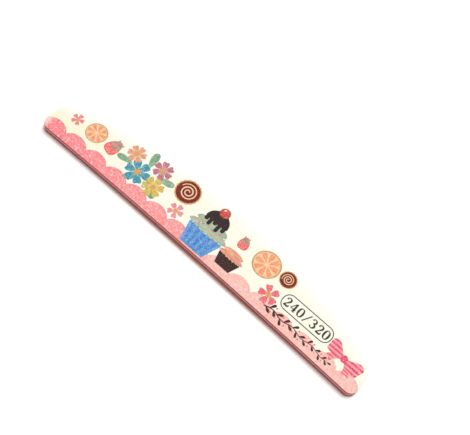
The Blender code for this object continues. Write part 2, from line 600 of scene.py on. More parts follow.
def layer_mesh(name, die, profile, rungs, under_rows=1, top_rows=1):
    """Closed mesh of a die-cut layer.

    profile lists the setback and the height of each ring of the cut edge, from the
    underside to the top. The mesh keeps cut_edge on its faces, and on its points the
    distance to the rim and which side of the layer they are on.
    """
    size = 2 * rungs
    last_ring = size * (len(profile) - 1)
    first_under = last_ring + size
    first_top = first_under + (rungs - 1) * (under_rows - 1)
    rings = [die.ring(setback, rungs) for setback, _ in profile]
    points = [np.column_stack([ring, np.full(size, z)]) for ring, (_, z) in zip(rings, profile)]
    points.append(face_grid(rings[0], profile[0][1], rungs, under_rows))
    points.append(face_grid(rings[-1], profile[-1][1], rungs, top_rows))
    vertices = np.concatenate(points)

    under = [face[::-1] for face in face_polygons(0, first_under, rungs, under_rows)]
    top = face_polygons(last_ring, first_top, rungs, top_rows)
    wall = []
    for low in range(0, last_ring, size):
        for step in range(size):
            after = (step + 1) % size
            wall.append((low + step, low + after, low + size + after, low + size + step))

    mesh = new_mesh(name, vertices.tolist(), under + top + wall)
    keep(mesh, "cut_edge", [0.0] * (len(under) + len(top)) + [1.0] * len(wall), "FACE")
    side = np.zeros(len(vertices))
    side[first_under:first_top] = -1
    side[first_top:] = 1
    keep(mesh, "side", side)
    wall_ring = np.zeros(len(vertices))
    wall_ring[size:last_ring] = 1
    keep(mesh, "wall_ring", wall_ring)
    keep(mesh, "rim", die.rim_distance(vertices))
    return mesh


# Layer materials

# Abrasive grain: size of its fine part, weights of that part and of its cells, and how it shows, with
# painted shade in its hollows
FINE_GRAIN_SHARE = 0.6
GRAIN_WEIGHTS = (0.5, 0.7)
GRAIN_HOLLOW_SHADE_RANGE = (0.25, 0.8)
GRAIN_GLOSS_RANGE = (0.2, 0.9)
GRAIN_BUMP_SHARE = 0.25

# Printed sheet: its mottle, how it ages to the left and pales beside the bowed edge
PAPER_PATCHES = dict(size=0.0011, start=0.4, end=0.66, detail=4.0, roughness=0.8)
PAPER_SPECKLE = dict(size=0.0006, start=0.48, end=0.68, roughness=0.7)
MOTTLE_WEIGHTS = (0.32, 0.5)
AGED_SHARE = 0.55
AGED_REACH_SHARE = -0.3
PALE_SHARE = 0.75
PALE_REACH = 0.0062
PALE_FROM_RIM = 0.0012
# Painted shade in the hollows between the grains
PAPER_HOLLOW_SHADE = 0.965
PAPER_GLOSS = dict(roughness=(0.72, 0.92), specular=0.3, strength=0.6)

# Fibres in a sheet's cut edge
FIBRES = dict(size=0.0004, start=0.3, end=0.7, detail=3.0)
FIBRE_STRETCH = (1.0, 1.0, 5.0)
PRINTED_FIBRE_SHARE = 0.3
GREY_FIBRE_SHARE = 0.5

# Grey sheet: painted shade in its crinkles' hollows, painted glints, and how its rim wears
GREY_GRAIN_SHARE = 0.8
GREY_CRINKLE_SHADE_RANGE = (0.05, 0.85)
GREY_PAINTED_GLINTS = dict(size=0.00025, start=0.62, end=0.7, high=0.5, detail=1.0)
GREY_RIM = dict(start=0.0002, end=0.0007, low=0.6, high=0.0)
GREY_GLOSS = dict(roughness=(0.5, 0.8), specular=0.45, strength=0.7)

# Foam: its cut cells, its clouds, the die's drag lines, and the painted shade that darkens its lower part
FOAM_PIT_RANGE = (0.15, 0.6)
FOAM_SMOOTHNESS = 0.3
FOAM_CLOUDS = dict(size=0.0009, start=0.3, end=0.7, detail=3.0, roughness=0.6)
FOAM_DRAG_SIZE = 0.00016
FOAM_DRAG_STRETCH = (1.0, 1.0, 0.12)
FOAM_DRAG = dict(start=0.5, end=0.75, high=0.18)
FOAM_PAINTED_SHADE = dict(start=0.0006, end=0.0022, low=0.8, high=0.0)
FOAM_DEPTH_WEIGHTS = (0.25, 0.55)
FOAM_RELIEF_WEIGHTS = (0.8, 0.3)
FOAM_ROUGHNESS = (0.82, 0.94)
FOAM_SPECULAR = 0.25
FOAM_BUMP_SHARE = 0.35
FOAM_BUMP_STRENGTH = 0.7

# Core board: the upright streaks and the clouds of its cut edge
CORE_STREAKS = dict(size=0.00018, detail=3.0, roughness=0.6)
CORE_STREAK_STRETCH = (1.0, 1.0, 0.06)
CORE_CLOUDS = dict(size=0.002, detail=3.0)
CORE_WEIGHTS = (0.4, 0.6)
CORE_TINT_RANGE = (0.35, 0.7)
CORE_GLOSS = dict(start=0.3, end=0.7, low=0.38, high=0.62)
CORE_SPECULAR = 0.45
CORE_RELIEF = 0.00002
CORE_BUMP_STRENGTH = 0.6

# Adhesive films: the dust caught on their edge
FILM_DUST = dict(size=0.0003, start=0.5, end=0.7, detail=3.0, roughness=0.7)
FILM_ROUGHNESS = (0.35, 0.75)
FILM_RELIEF = 0.00001
FILM_BUMP_STRENGTH = 0.5


def abrasive_grain(tree, place, size):
    """Height of the abrasive grain, from 0 to 1."""
    cells = add_node(
        tree, "ShaderNodeTexVoronoi", {"Vector": place, "Scale": 1 / size, "Randomness": 1.0},
        feature="F1").outputs["Distance"]
    fine = noise(tree, place, size * FINE_GRAIN_SHARE, detail=1.0)
    return blended(tree, fine, cells, *GRAIN_WEIGHTS)


def shaded_in_hollows(tree, colour, grain, shade):
    """Colour with painted shade: darker in the hollows between the grains."""
    hollow_shade = between(tree, grain, *GRAIN_HOLLOW_SHADE_RANGE, shade, 1.0)
    grey = add_node(tree, "ShaderNodeCombineColor", {0: hollow_shade, 1: hollow_shade, 2: hollow_shade}).outputs[0]
    return mixed(tree, 1.0, colour, grey, blend="MULTIPLY")


def dress_abrasive(tree, shader, colour, grain, grain_size, roughness, specular, strength):
    """Give a shader its colour, and a gloss and a relief that follow its grain."""
    dress(tree, shader, colour, between(tree, grain, *GRAIN_GLOSS_RANGE, *roughness), specular)
    add_bump(tree, shader, grain, grain_size * GRAIN_BUMP_SHARE, strength)


def edged(tree, place, face, edge, fibre, fibre_share):
    """Colour of a sheet's face, and of its cut edge with fibres of another colour."""
    stretched = vector_maths(tree, "MULTIPLY", place, FIBRE_STRETCH)
    fibres = mottle(tree, stretched, high=fibre_share, **FIBRES)
    return mixed(tree, attribute(tree, "cut_edge"), face, mixed(tree, fibres, edge, fibre))


def printed_sheet_material(finish, die):
    """Cream abrasive paper: mottled ground that pales beside the bowed edge, painted shade between its
    grains, and a paper edge.
    """
    material, tree, shader, place = new_material("printed_paper")
    along, _, height = axes(tree, place)
    grain = abrasive_grain(tree, place, finish.grain_size)
    patches = mottle(tree, place, **PAPER_PATCHES)
    speckle = mottle(tree, place, **PAPER_SPECKLE)
    share = blended(tree, patches, speckle, *MOTTLE_WEIGHTS)
    ground = mixed(tree, share, finish.ground, finish.ground_mottle)
    ageing = between(
        tree, along, -die.half_length, AGED_REACH_SHARE * die.half_length, AGED_SHARE, 0.0)
    ground = mixed(tree, ageing, ground, finish.ground_aged)
    centre = as_vector(tree, *die.arc_centre, height)
    from_centre = add_node(
        tree, "ShaderNodeVectorMath", {0: place, 1: centre}, operation="DISTANCE").outputs["Value"]
    paling = between(
        tree, from_centre, die.arc_radius - PALE_REACH, die.arc_radius - PALE_FROM_RIM, 0.0, PALE_SHARE)
    # Painted shade in the hollows between the grains
    ground = shaded_in_hollows(tree, mixed(tree, paling, ground, finish.ground_bare), grain, PAPER_HOLLOW_SHADE)
    colour = edged(tree, place, ground, finish.paper_edge, finish.ground, PRINTED_FIBRE_SHARE)
    dress_abrasive(tree, shader, colour, grain, finish.grain_size, **PAPER_GLOSS)
    return material


def grey_sheet_material(finish):
    """Silver-grey abrasive paper with painted shade in the hollows of its crinkles and painted glints."""
    material, tree, shader, place = new_material("grey_paper")
    grain = abrasive_grain(tree, place, finish.grain_size * GREY_GRAIN_SHARE)
    # Painted shade in the crinkles' hollows, then painted glints as white specks
    tint = between(tree, attribute(tree, "ridge"), *GREY_CRINKLE_SHADE_RANGE)
    colour = mixed(tree, tint, finish.grey_crinkle_shade, finish.grey)
    colour = mixed(tree, mottle(tree, place, **GREY_PAINTED_GLINTS), colour, (1.0, 1.0, 1.0))
    colour = mixed(tree, between(tree, attribute(tree, "rim"), **GREY_RIM), colour, finish.grey_rim)
    # The cut edge's colour holds painted shade as well as the sheet's own colour
    colour = edged(tree, place, colour, finish.grey_edge_with_painted_shade, finish.grey_rim, GREY_FIBRE_SHARE)
    dress_abrasive(tree, shader, colour, grain, finish.grain_size, **GREY_GLOSS)
    return material


def foam_material(finish):
    """Rose closed-cell foam: cut cells, the faint lines of the die, and painted shade that darkens it
    towards the underside.
    """
    material, tree, shader, place = new_material("rose_foam")
    cells = add_node(
        tree, "ShaderNodeTexVoronoi",
        {"Vector": place, "Scale": 1 / finish.foam_cell, "Smoothness": FOAM_SMOOTHNESS},
        feature="SMOOTH_F1").outputs["Distance"]
    pits = between(tree, cells, *FOAM_PIT_RANGE)
    clouds = mottle(tree, place, **FOAM_CLOUDS)
    drag = noise(tree, vector_maths(tree, "MULTIPLY", place, FOAM_DRAG_STRETCH), FOAM_DRAG_SIZE)
    depth = blended(tree, clouds, pits, *FOAM_DEPTH_WEIGHTS)
    colour = mixed(tree, depth, finish.foam_pit, finish.foam)
    colour = mixed(tree, between(tree, drag, **FOAM_DRAG), colour, finish.core)
    # Painted shade: the foam darkens towards its underside, towards the colour of its open cells
    painted_shade = between(tree, axes(tree, place)[2], **FOAM_PAINTED_SHADE)
    colour = mixed(tree, painted_shade, colour, finish.foam_pit)
    dress(tree, shader, colour, between(tree, clouds, 0.0, 1.0, *FOAM_ROUGHNESS), FOAM_SPECULAR)
    relief = blended(tree, pits, drag, *FOAM_RELIEF_WEIGHTS)
    add_bump(tree, shader, relief, finish.foam_cell * FOAM_BUMP_SHARE, FOAM_BUMP_STRENGTH)
    return material


def core_material(finish):
    """Pink plastic board whose cut edge is drawn out in fine upright streaks."""
    material, tree, shader, place = new_material("pink_board")
    streaks = noise(tree, vector_maths(tree, "MULTIPLY", place, CORE_STREAK_STRETCH), **CORE_STREAKS)
    clouds = noise(tree, place, **CORE_CLOUDS)
    share = blended(tree, clouds, streaks, *CORE_WEIGHTS)
    colour = mixed(tree, between(tree, share, *CORE_TINT_RANGE), finish.core_streak, finish.core)
    dress(tree, shader, colour, between(tree, streaks, **CORE_GLOSS), CORE_SPECULAR)
    add_bump(tree, shader, streaks, CORE_RELIEF, CORE_BUMP_STRENGTH)
    return material


def film_material(finish):
    """Thin double-sided adhesive film with dust caught on its edge."""
    material, tree, shader, place = new_material("adhesive")
    dust = mottle(tree, place, **FILM_DUST)
    colour = mixed(tree, dust, finish.film, finish.foam_pit)
    dress(tree, shader, colour, between(tree, dust, 0.0, 1.0, *FILM_ROUGHNESS))
    add_bump(tree, shader, dust, FILM_RELIEF, FILM_BUMP_STRENGTH)
    return material


# Layer trees

# Ripples of a cut edge, as shares of their spacing and depth
RIPPLE_LUMPS = dict(size=1.0, start=0.3, end=0.7, low=-1.0, high=0.0, detail=3.0, roughness=0.62)

# Crinkles: how wide they meander and how far, their roughness, and where they fade at the rim
MEANDER_SIZE = 0.0042
MEANDER_REACH = 0.0011
RIDGE_ROUGHNESS = 0.55
RIDGE_RANGE = (0.3, 0.7)
RIDGE_FADE_RANGE = (0.0001, 0.0006)

# Coarse grains: their sides, blunt tips, smallest size, and what counts as the flat top
GRAIN_SIDES = 5
GRAIN_TIP_SHARE = 0.3
SMALLEST_GRAIN_SHARE = 0.35
LEVEL_NORMAL = 0.9
GRAIN_SEED = 7
GRIT_TINT = dict(size=0.0006, start=0.4, end=0.6, detail=1.0)
GRIT_ROUGHNESS = (0.3, 0.6)


def cut_edge_tree(name):
    """Tree that ripples a layer's cut edge."""
    tree, given = new_shape_tree(name, {"Depth": "Float", "Spacing": "Float"})
    share = scaled(tree, vertex_place(tree), maths(tree, "DIVIDE", 1.0, given["Spacing"]))
    swing = maths(tree, "MULTIPLY", mottle(tree, share, **RIPPLE_LUMPS), given["Depth"])
    outwards = add_node(tree, "GeometryNodeInputNormal").outputs[0]
    moved = add_node(
        tree, "GeometryNodeSetPosition",
        {"Geometry": given["Geometry"], "Selection": named_value(tree, "wall_ring"),
         "Offset": scaled(tree, outwards, swing)})
    return end_shape_tree(tree, given, moved)


def crinkle_tree(name):
    """Tree that raises short wavy ridges across the underside of the grey sheet."""
    tree, given = new_shape_tree(name, {"Height": "Float", "Spacing": "Float", "Ridge Length": "Float"})
    place = vertex_place(tree)
    wave = noise(tree, place, MEANDER_SIZE, detail=1.0, output=1)
    bend = scaled(tree, vector_maths(tree, "SUBTRACT", wave, (0.5, 0.5, 0.5)), MEANDER_REACH)
    per_ridge = as_vector(tree, *(
        maths(tree, "DIVIDE", 1.0, given[size]) for size in ("Spacing", "Ridge Length")))
    stretched = vector_maths(tree, "MULTIPLY", vector_maths(tree, "ADD", place, bend), per_ridge)
    lumps = noise(tree, stretched, 1.0, roughness=RIDGE_ROUGHNESS)
    ridge = between(tree, lumps, *RIDGE_RANGE, smooth=False)
    fade = between(tree, named_value(tree, "rim"), *RIDGE_FADE_RANGE)
    hollow = maths(tree, "SUBTRACT", 1.0, maths(tree, "MULTIPLY", ridge, fade))
    lift = maths(tree, "MULTIPLY", hollow, given["Height"])
    under = maths(tree, "LESS_THAN", named_value(tree, "side"), -0.5)
    moved = add_node(
        tree, "GeometryNodeSetPosition",
        {"Geometry": given["Geometry"], "Selection": under, "Offset": as_vector(tree, z=lift)})
    kept = add_node(
        tree, "GeometryNodeStoreNamedAttribute",
        {"Geometry": moved, "Name": "ridge", "Value": ridge}, data_type="FLOAT", domain="POINT")
    return end_shape_tree(tree, given, kept)


def grain_tree(name):
    """Tree that scatters coarse abrasive grains over the top of a sheet."""
    tree, given = new_shape_tree(name, {"Density": "Float", "Grain Width": "Float", "Grain Height": "Float"})
    upwards = axes(tree, add_node(tree, "GeometryNodeInputNormal"))[2]
    points = add_node(
        tree, "GeometryNodeDistributePointsOnFaces",
        {"Mesh": given["Geometry"], "Selection": maths(tree, "GREATER_THAN", upwards, LEVEL_NORMAL),
         "Density": given["Density"], "Seed": GRAIN_SEED})
    half_width = maths(tree, "MULTIPLY", given["Grain Width"], 0.5)
    tip = add_node(
        tree, "GeometryNodeMeshCone",
        {"Vertices": GRAIN_SIDES, "Radius Top": maths(tree, "MULTIPLY", half_width, GRAIN_TIP_SHARE),
         "Radius Bottom": half_width, "Depth": given["Grain Height"]})
    turn = random_value(tree, 0.0, FULL_TURN, GRAIN_SEED + 1)
    size = random_value(tree, SMALLEST_GRAIN_SHARE, 1.0, GRAIN_SEED + 2)
    inside = maths(tree, "GREATER_THAN", named_value(tree, "rim"), given["Grain Width"])
    copies = add_node(
        tree, "GeometryNodeInstanceOnPoints",
        {"Points": points.outputs["Points"], "Selection": inside, "Instance": tip.outputs[0],
         "Rotation": turn_about_z(tree, turn), "Scale": as_vector(tree, size, size, size)})
    return end_shape_tree(tree, given, copies)


# Layers

# How far the fine layers reach into the clearance of their bond
BOND_GAP = 0.00001

# Steps of the layers' meshes: rungs along the file, and rows across its two faces
PRINTED_RUNGS = 560
PRINTED_ROWS = 14
GREY_RUNGS = 1300
GREY_ROWS = 46
BOARD_RUNGS = 620
FILM_RUNGS = 420

# Rounding of the cut edges, as shares of a layer's thickness
PRINTED_LIP_SHARE = 1 / 4
GREY_LIP_SHARE = 1 / 5
CORE_LIP_SHARE = 1 / 12
CORE_RING_SHARES = (0.3, 0.5, 0.7)

# Rings of the foam's cut edge, how square it swells, and the greatest angle shaded smooth
FOAM_RINGS = 9
FOAM_SQUARENESS = 0.4
CUT_EDGE_ANGLE = 40
FOAM_EDGE_ANGLE = 60

# Depth of a stiff layer's ripples beside the foam's
PRINTED_RIPPLE_PARTS = 4
CORE_RIPPLE_PARTS = 3


def sheet_profile(bonded, face, lip):
    """Rings of a sheet's cut edge, from the underside up; its face side is rounded."""
    up = 1 if face > bonded else -1
    profile = [
        (lip / 3, bonded - up * BOND_GAP), (0, bonded + up * lip), (0, face - up * lip),
        (lip / 3, face - up * lip / 4), (lip, face)]
    return profile[::up]


def foam_profile(low, high, setback, bulge):
    """Rings of the foam's cut edge, which is drawn in beside its neighbours."""
    profile = []
    for step in range(FOAM_RINGS + 1):
        share = step / FOAM_RINGS
        swell = math.sin(math.pi * share) ** FOAM_SQUARENESS if 0 < share < 1 else 0
        profile.append((setback + bulge * 2 * (1 - swell), low + (high - low) * share))
    return profile


def core_profile(low, high, setback):
    """Rings of the core board's cut edge."""
    lip = (high - low) * CORE_LIP_SHARE
    middle = [(setback, low + (high - low) * share) for share in CORE_RING_SHARES]
    return [
        (setback + lip, low - BOND_GAP), (setback, low + lip), *middle,
        (setback, high - lip), (setback + lip, high + BOND_GAP)]


def cut_layer(name, node, die, profile, rungs, depth, material, angle=CUT_EDGE_ANGLE, **rows):
    """Piece with a rippled cut edge that stands for a layer of the frame."""
    finish = bpy.context.scene.nail_file_layers
    values = {"Depth": depth, "Spacing": finish.cut_ripple_spacing, "Material": material}
    mesh = layer_mesh(node, die, profile, rungs, **rows)
    piece = grown(name, mesh, made_once("cut_edge_ripples", cut_edge_tree), values)
    return finish_layer(piece, node, angle)


def finish_layer(piece, node, angle):
    """Shade a layer smooth up to an angle, and hide the frame's part that it replaces."""
    if angle:
        piece.data.shade_smooth()
        piece.data.set_sharp_from_angle(angle=math.radians(angle))
    finish_piece(piece, (node,))
    return piece


class NAILFILE_OT_printed_sheet(bpy.types.Operator):
    """Make the cream abrasive sheet that carries the print"""

    bl_idname = "nailfile.printed_sheet"
    bl_label = "Printed sheet"

    def execute(self, context):
        finish = context.scene.nail_file_layers
        die = Die(context.scene.nail_file_die)
        low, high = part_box(PRINTED_SHEET)
        top = high.z - finish.grain_height
        profile = sheet_profile(low.z, top, (top - low.z) * PRINTED_LIP_SHARE)
        cut_layer(
            "printed_sheet", PRINTED_SHEET, die, profile, PRINTED_RUNGS,
            finish.cut_ripple / PRINTED_RIPPLE_PARTS, printed_sheet_material(finish, die),
            top_rows=PRINTED_ROWS)
        return {"FINISHED"}


class NAILFILE_OT_grey_sheet(bpy.types.Operator):
    """Make the grey abrasive sheet with its crinkled face"""

    bl_idname = "nailfile.grey_sheet"
    bl_label = "Grey sheet"

    def execute(self, context):
        finish = context.scene.nail_file_layers
        die = Die(context.scene.nail_file_die)
        low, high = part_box(GREY_SHEET)
        profile = sheet_profile(high.z, low.z, (high.z - low.z) * GREY_LIP_SHARE)
        mesh = layer_mesh("grey_sheet", die, profile, GREY_RUNGS, under_rows=GREY_ROWS)
        values = {
            "Height": finish.ridge_height, "Spacing": finish.ridge_spacing,
            "Ridge Length": finish.ridge_length, "Material": grey_sheet_material(finish)}
        piece = grown("grey_sheet", mesh, made_once("crinkled_face", crinkle_tree), values)
        finish_layer(piece, GREY_SHEET, CUT_EDGE_ANGLE)
        return {"FINISHED"}


class NAILFILE_OT_foam_pads(bpy.types.Operator):
    """Make the two rose foam pads with their cut cells"""

    bl_idname = "nailfile.foam_pads"
    bl_label = "Foam pads"

    def execute(self, context):
        finish = context.scene.nail_file_layers
        die = Die(context.scene.nail_file_die)
        material = foam_material(finish)
        for node in FOAM_PADS:
            low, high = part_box(node)
            profile = foam_profile(
                low.z - BOND_GAP, high.z + BOND_GAP, low.x + die.half_length, finish.foam_bulge)
            piece = cut_layer(
                node + "_foam", node, die, profile, BOARD_RUNGS, finish.cut_ripple, material,
                FOAM_EDGE_ANGLE)
        return {"FINISHED"}


class NAILFILE_OT_core_board(bpy.types.Operator):
    """Make the stiff pink board in the middle of the laminate"""

    bl_idname = "nailfile.core_board"
    bl_label = "Core board"

    def execute(self, context):
        finish = context.scene.nail_file_layers
        die = Die(context.scene.nail_file_die)
        low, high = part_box(CORE_BOARD)
        profile = core_profile(low.z, high.z, low.x + die.half_length)
        cut_layer(
            "core_board_plastic", CORE_BOARD, die, profile, BOARD_RUNGS,
            finish.cut_ripple / CORE_RIPPLE_PARTS, core_material(finish))
        return {"FINISHED"}


class NAILFILE_OT_adhesive_films(bpy.types.Operator):
    """Make the four adhesive films between the layers"""

    bl_idname = "nailfile.adhesive_films"
    bl_label = "Adhesive films"

    def execute(self, context):
        finish = context.scene.nail_file_layers
        die = Die(context.scene.nail_file_die)
        material = film_material(finish)
        for node in ADHESIVE_FILMS:
            low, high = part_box(node)
            heights = (low.z - BOND_GAP, (low.z + high.z) / 2, high.z + BOND_GAP)
            profile = [(low.x + die.half_length, height) for height in heights]
            cut_layer(
                node + "_film", node, die, profile, FILM_RUNGS, finish.cut_ripple, material, angle=None)
        return {"FINISHED"}


class NAILFILE_OT_coarse_grains(bpy.types.Operator):
    """Scatter the coarsest abrasive grains over the printed face"""

    bl_idname = "nailfile.coarse_grains"
    bl_label = "Coarse grains"

    def execute(self, context):
        finish = context.scene.nail_file_layers
        sheet = bpy.data.objects["printed_sheet"]
        area = sum(face.area for face in sheet.data.polygons if face.normal.z > LEVEL_NORMAL)
        material, tree, shader, place = new_material("abrasive_grit")
        tint = mottle(tree, place, **GRIT_TINT)
        colour = mixed(tree, tint, finish.ground, finish.ground_mottle)
        dress(tree, shader, colour, between(tree, tint, 0.0, 1.0, *GRIT_ROUGHNESS))
        values = {
            "Density": finish.coarse_grains / area, "Grain Width": finish.grain_size,
            "Grain Height": finish.grain_height, "Material": material}
        scatter = made_once("coarse_grains", grain_tree)
        piece = grown("coarse_grains", sheet.data.copy(), scatter, values)
        finish_piece(piece)
        return {"FINISHED"}


# Printed shapes

INSET_RING_SHARES = (1.0, 0.84, 0.6, 0.3)


class FlatInk:
    """Flat shapes and strokes of one ink, gathered before they are made one mesh.

    Each vertex keeps its place in its shape: along, across and inwards from the rim.
    """

    def __init__(self):
        self.points = []
        self.places = []
        self.tones = []
        self.faces = []

    def add_point(self, x, y, z, along, across, inwards, tone):
        """One vertex and what it keeps."""
        self.points.append((x, y, z))
        self.places.append((along, across, inwards))
        self.tones.append(tone)

    def add_shape(self, outline, z=0.0, tone=0.0):
        """A filled outline, counter-clockwise, with rings towards its middle."""
        outline = np.asarray(outline, float)
        middle = outline.mean(axis=0)
        reach = np.abs(outline - middle).max()
        first, count = len(self.points), len(outline)
        for share in INSET_RING_SHARES:
            for x, y in middle + (outline - middle) * share:
                along, across = (x - middle[0]) / reach, (y - middle[1]) / reach
                self.add_point(x, y, z, along, across, 1 - share, tone)
        self.add_point(*middle, z, 0, 0, 1, tone)
        last = first + (len(INSET_RING_SHARES) - 1) * count
        for step in range(count):
            after = (step + 1) % count
            for outer in range(first, last, count):
                inner = outer + count
                self.faces.append((outer + step, outer + after, inner + after, inner + step))
            self.faces.append((last + step, last + after, last + count))

    def add_stroke(self, line, widths, z=0.0, tone=0.0, closed=False):
        """A line drawn with a pen whose width changes from point to point."""
        line, widths = np.asarray(line, float), np.asarray(widths, float)
        if closed:
            tangent = np.roll(line, -1, axis=0) - np.roll(line, 1, axis=0)
        else:
            tangent = np.gradient(line, axis=0)
        tangent /= np.linalg.norm(tangent, axis=1, keepdims=True)
        side = np.stack([-tangent[:, 1], tangent[:, 0]], 1) * widths[:, None] / 2
        first, count = len(self.points), len(line)
        for step, (middle, reach) in enumerate(zip(line, side)):
            for across in (-1, 0, 1):
                self.add_point(*(middle + reach * across), z, step / count, across, 1 - abs(across), tone)
        for step in range(count if closed else count - 1):
            here, after = first + 3 * step, first + 3 * ((step + 1) % count)
            for column in (0, 1):
                self.faces.append((here + column, after + column, after + column + 1, here + column + 1))

    def mesh(self, name, with_tone=True):
        """The gathered shapes as one mesh."""
        mesh = new_mesh(name, self.points, self.faces)
        keep_vectors(mesh, "ink_place", self.places)
        if with_tone:
            keep(mesh, "tone", self.tones)
        return mesh


def turned(angle):
    """Matrix that turns row vectors counter-clockwise."""
    cosine, sine = math.cos(angle), math.sin(angle)
    return np.array([[cosine, sine], [-sine, cosine]])


def ellipse(width=1.0, height=1.0, steps=40, centre=(0, 0), turn=0.0):
    """Outline of an ellipse of those half sizes."""
    angles = np.linspace(0, FULL_TURN, steps, endpoint=False)
    points = np.stack([width * np.cos(angles), height * np.sin(angles)], 1)
    return points @ turned(turn) + np.asarray(centre)


# How sharply a petal's notch is dented, and the steps from its foot to its tip
NOTCH_SHARPNESS = 6
DROP_STEPS = 16


def drop(width, taper, blunt, notch=0.0):
    """Petal, leaf or wedge of length 1 that starts at the origin and points along +X.

    width is its half width, taper moves the widest part outwards, and a low blunt gives
    a broad outer end, which notch can dent.
    """
    angles = np.linspace(0, math.pi, DROP_STEPS + 1)
    along = (1 - np.cos(angles)) / 2
    across = width * along ** taper * np.sin(angles).clip(0) ** blunt
    dent = notch * np.exp(-(across / width) ** 2 * NOTCH_SHARPNESS) * (along > 0.5)
    lower = np.stack([along - dent, -across], 1)
    upper = np.stack([along - dent, across], 1)[-2:0:-1]
    return np.concatenate([lower, upper])


def smooth_line(points, steps, closed=False):
    """Smooth line through the given points; further columns are carried along."""
    points = np.asarray(points, float)
    if closed:
        padded = np.concatenate([points[-1:], points, points[:2]])
    else:
        padded = np.concatenate([2 * points[:1] - points[1:2], points, 2 * points[-1:] - points[-2:-1]])
    line = []
    for before, start, end, after in zip(padded, padded[1:], padded[2:], padded[3:]):
        for share in np.arange(steps) / steps:
            line.append(
                ((-share + 2 * share ** 2 - share ** 3) * before
                 + (2 - 5 * share ** 2 + 3 * share ** 3) * start
                 + (share + 4 * share ** 2 - 3 * share ** 3) * end
                 + (share ** 3 - share ** 2) * after) / 2)
    if not closed:
        line.append(points[-1])
    return np.array(line)


def places_mesh(name, places):
    """Points where a motif is repeated. Each is x, y, z, width, height, turn and tone."""
    table = np.asarray(places, np.float32)
    mesh = new_mesh(name, table[:, :3].tolist())
    keep_vectors(mesh, "size", np.column_stack([table[:, 3:5], np.ones(len(table))]))
    keep(mesh, "turn", table[:, 5])
    keep(mesh, "tone", table[:, 6])
    return mesh


# Ink trees

# Greatest gap that is closed in a film, as a share of its thickness, and an area that counts as none
SEAM_SHARE = 0.1
NO_AREA = 1e-12


def add_film(tree, flat, thickness):
    """Nodes that make closed films of flat shapes."""
    risen = add_node(
        tree, "GeometryNodeExtrudeMesh",
        {"Mesh": flat, "Offset": as_vector(tree, z=1.0), "Offset Scale": thickness, "Individual": False})
    under = add_node(tree, "GeometryNodeFlipFaces", {"Mesh": flat})
    joined = add_node(tree, "GeometryNodeJoinGeometry", {0: [risen.outputs["Mesh"], under.outputs[0]]})
    seam = maths(tree, "MULTIPLY", thickness, SEAM_SHARE)
    return add_node(tree, "GeometryNodeMergeByDistance", {"Geometry": joined, "Distance": seam})


def film_tree(name):
    """Tree that makes closed ink films of flat shapes."""
    tree, given = new_shape_tree(name, {"Thickness": "Float"})
    return end_shape_tree(tree, given, add_film(tree, given["Geometry"], given["Thickness"]))


def motif_tree(name, kept_inside):
    """Tree that sets a ring of flat shapes at each place and makes closed ink films of them."""
    sockets = {"Shape": "Object", "Copies": "Int", "Ring Radius": "Float", "Thickness": "Float"}
    if kept_inside:
        sockets["Outline"] = "Object"
    tree, given = new_shape_tree(name, sockets)
    shape = add_node(tree, "GeometryNodeObjectInfo", {"Object": given["Shape"]}).outputs["Geometry"]
    step = maths(tree, "DIVIDE", FULL_TURN, given["Copies"])
    angle = maths(tree, "MULTIPLY", add_node(tree, "GeometryNodeInputIndex").outputs[0], step)
    spot = as_vector(tree, *(
        maths(tree, "MULTIPLY", maths(tree, part, angle), given["Ring Radius"])
        for part in ("COSINE", "SINE")))
    ring_points = add_node(tree, "GeometryNodePoints", {"Count": given["Copies"], "Position": spot})
    ring = add_node(
        tree, "GeometryNodeInstanceOnPoints",
        {"Points": ring_points, "Instance": shape, "Rotation": turn_about_z(tree, angle)})
    motifs = add_node(
        tree, "GeometryNodeInstanceOnPoints",
        {"Points": given["Geometry"], "Instance": ring,
         "Rotation": turn_about_z(tree, named_value(tree, "turn")),
         "Scale": named_value(tree, "size", "FLOAT_VECTOR")})
    flat = add_node(tree, "GeometryNodeRealizeInstances", {0: motifs}).outputs[0]
    if kept_inside:
        flat = add_trimming(tree, flat, given["Outline"])
    return end_shape_tree(tree, given, add_film(tree, flat, given["Thickness"]))


def add_trimming(tree, flat, outline):
    """Nodes that draw what lies beyond a flat outline back to its rim."""
    target = add_node(tree, "GeometryNodeObjectInfo", {"Object": outline}).outputs["Geometry"]
    place = vertex_place(tree)
    nearest = add_node(
        tree, "GeometryNodeProximity", {"Geometry": target, "Sample Position": place},
        target_element="FACES")
    inside_x, inside_y, _ = axes(tree, nearest.outputs["Position"])
    drawn_in = as_vector(tree, inside_x, inside_y, axes(tree, place)[2])
    moved = add_node(tree, "GeometryNodeSetPosition", {"Geometry": flat, "Position": drawn_in})
    area = add_node(tree, "GeometryNodeInputMeshFaceArea").outputs[0]
    empty = maths(tree, "LESS_THAN", area, NO_AREA)
    return add_node(
        tree, "GeometryNodeDeleteGeometry", {"Geometry": moved, "Selection": empty},
        domain="FACE").outputs[0]


# Inks

# The deeper shade of an ink, its rim, its clouds, its crayon strokes, its streaks, its painted glare at the
# left end and its painted shade between the grains
DEEP_SHADE = (0.68, 0.55, 0.52)
INK_RIM_RANGE = (0.0, 0.22)
INK_CLOUDS = dict(size=0.0021, start=0.38, end=0.68, detail=3.0, roughness=0.6)
INK_PALE_SHARE = 0.4
INK_HATCH_SHARE = 0.5
CRAYON = dict(size=0.0006, roughness=0.7)
CRAYON_DARK_RANGE = (0.3, 0.5)
CRAYON_BARE_RANGE = (0.52, 0.68)
STREAKS = dict(size=0.8, start=0.42, end=0.62)
STREAK_STRETCH = (1.3, 7.0, 1.0)
PAINTED_GLARE_SHARE = 0.65
INK_HOLLOW_SHADE = 0.94
INK_GLOSS = dict(roughness=(0.6, 0.85), specular=0.3, strength=0.6)


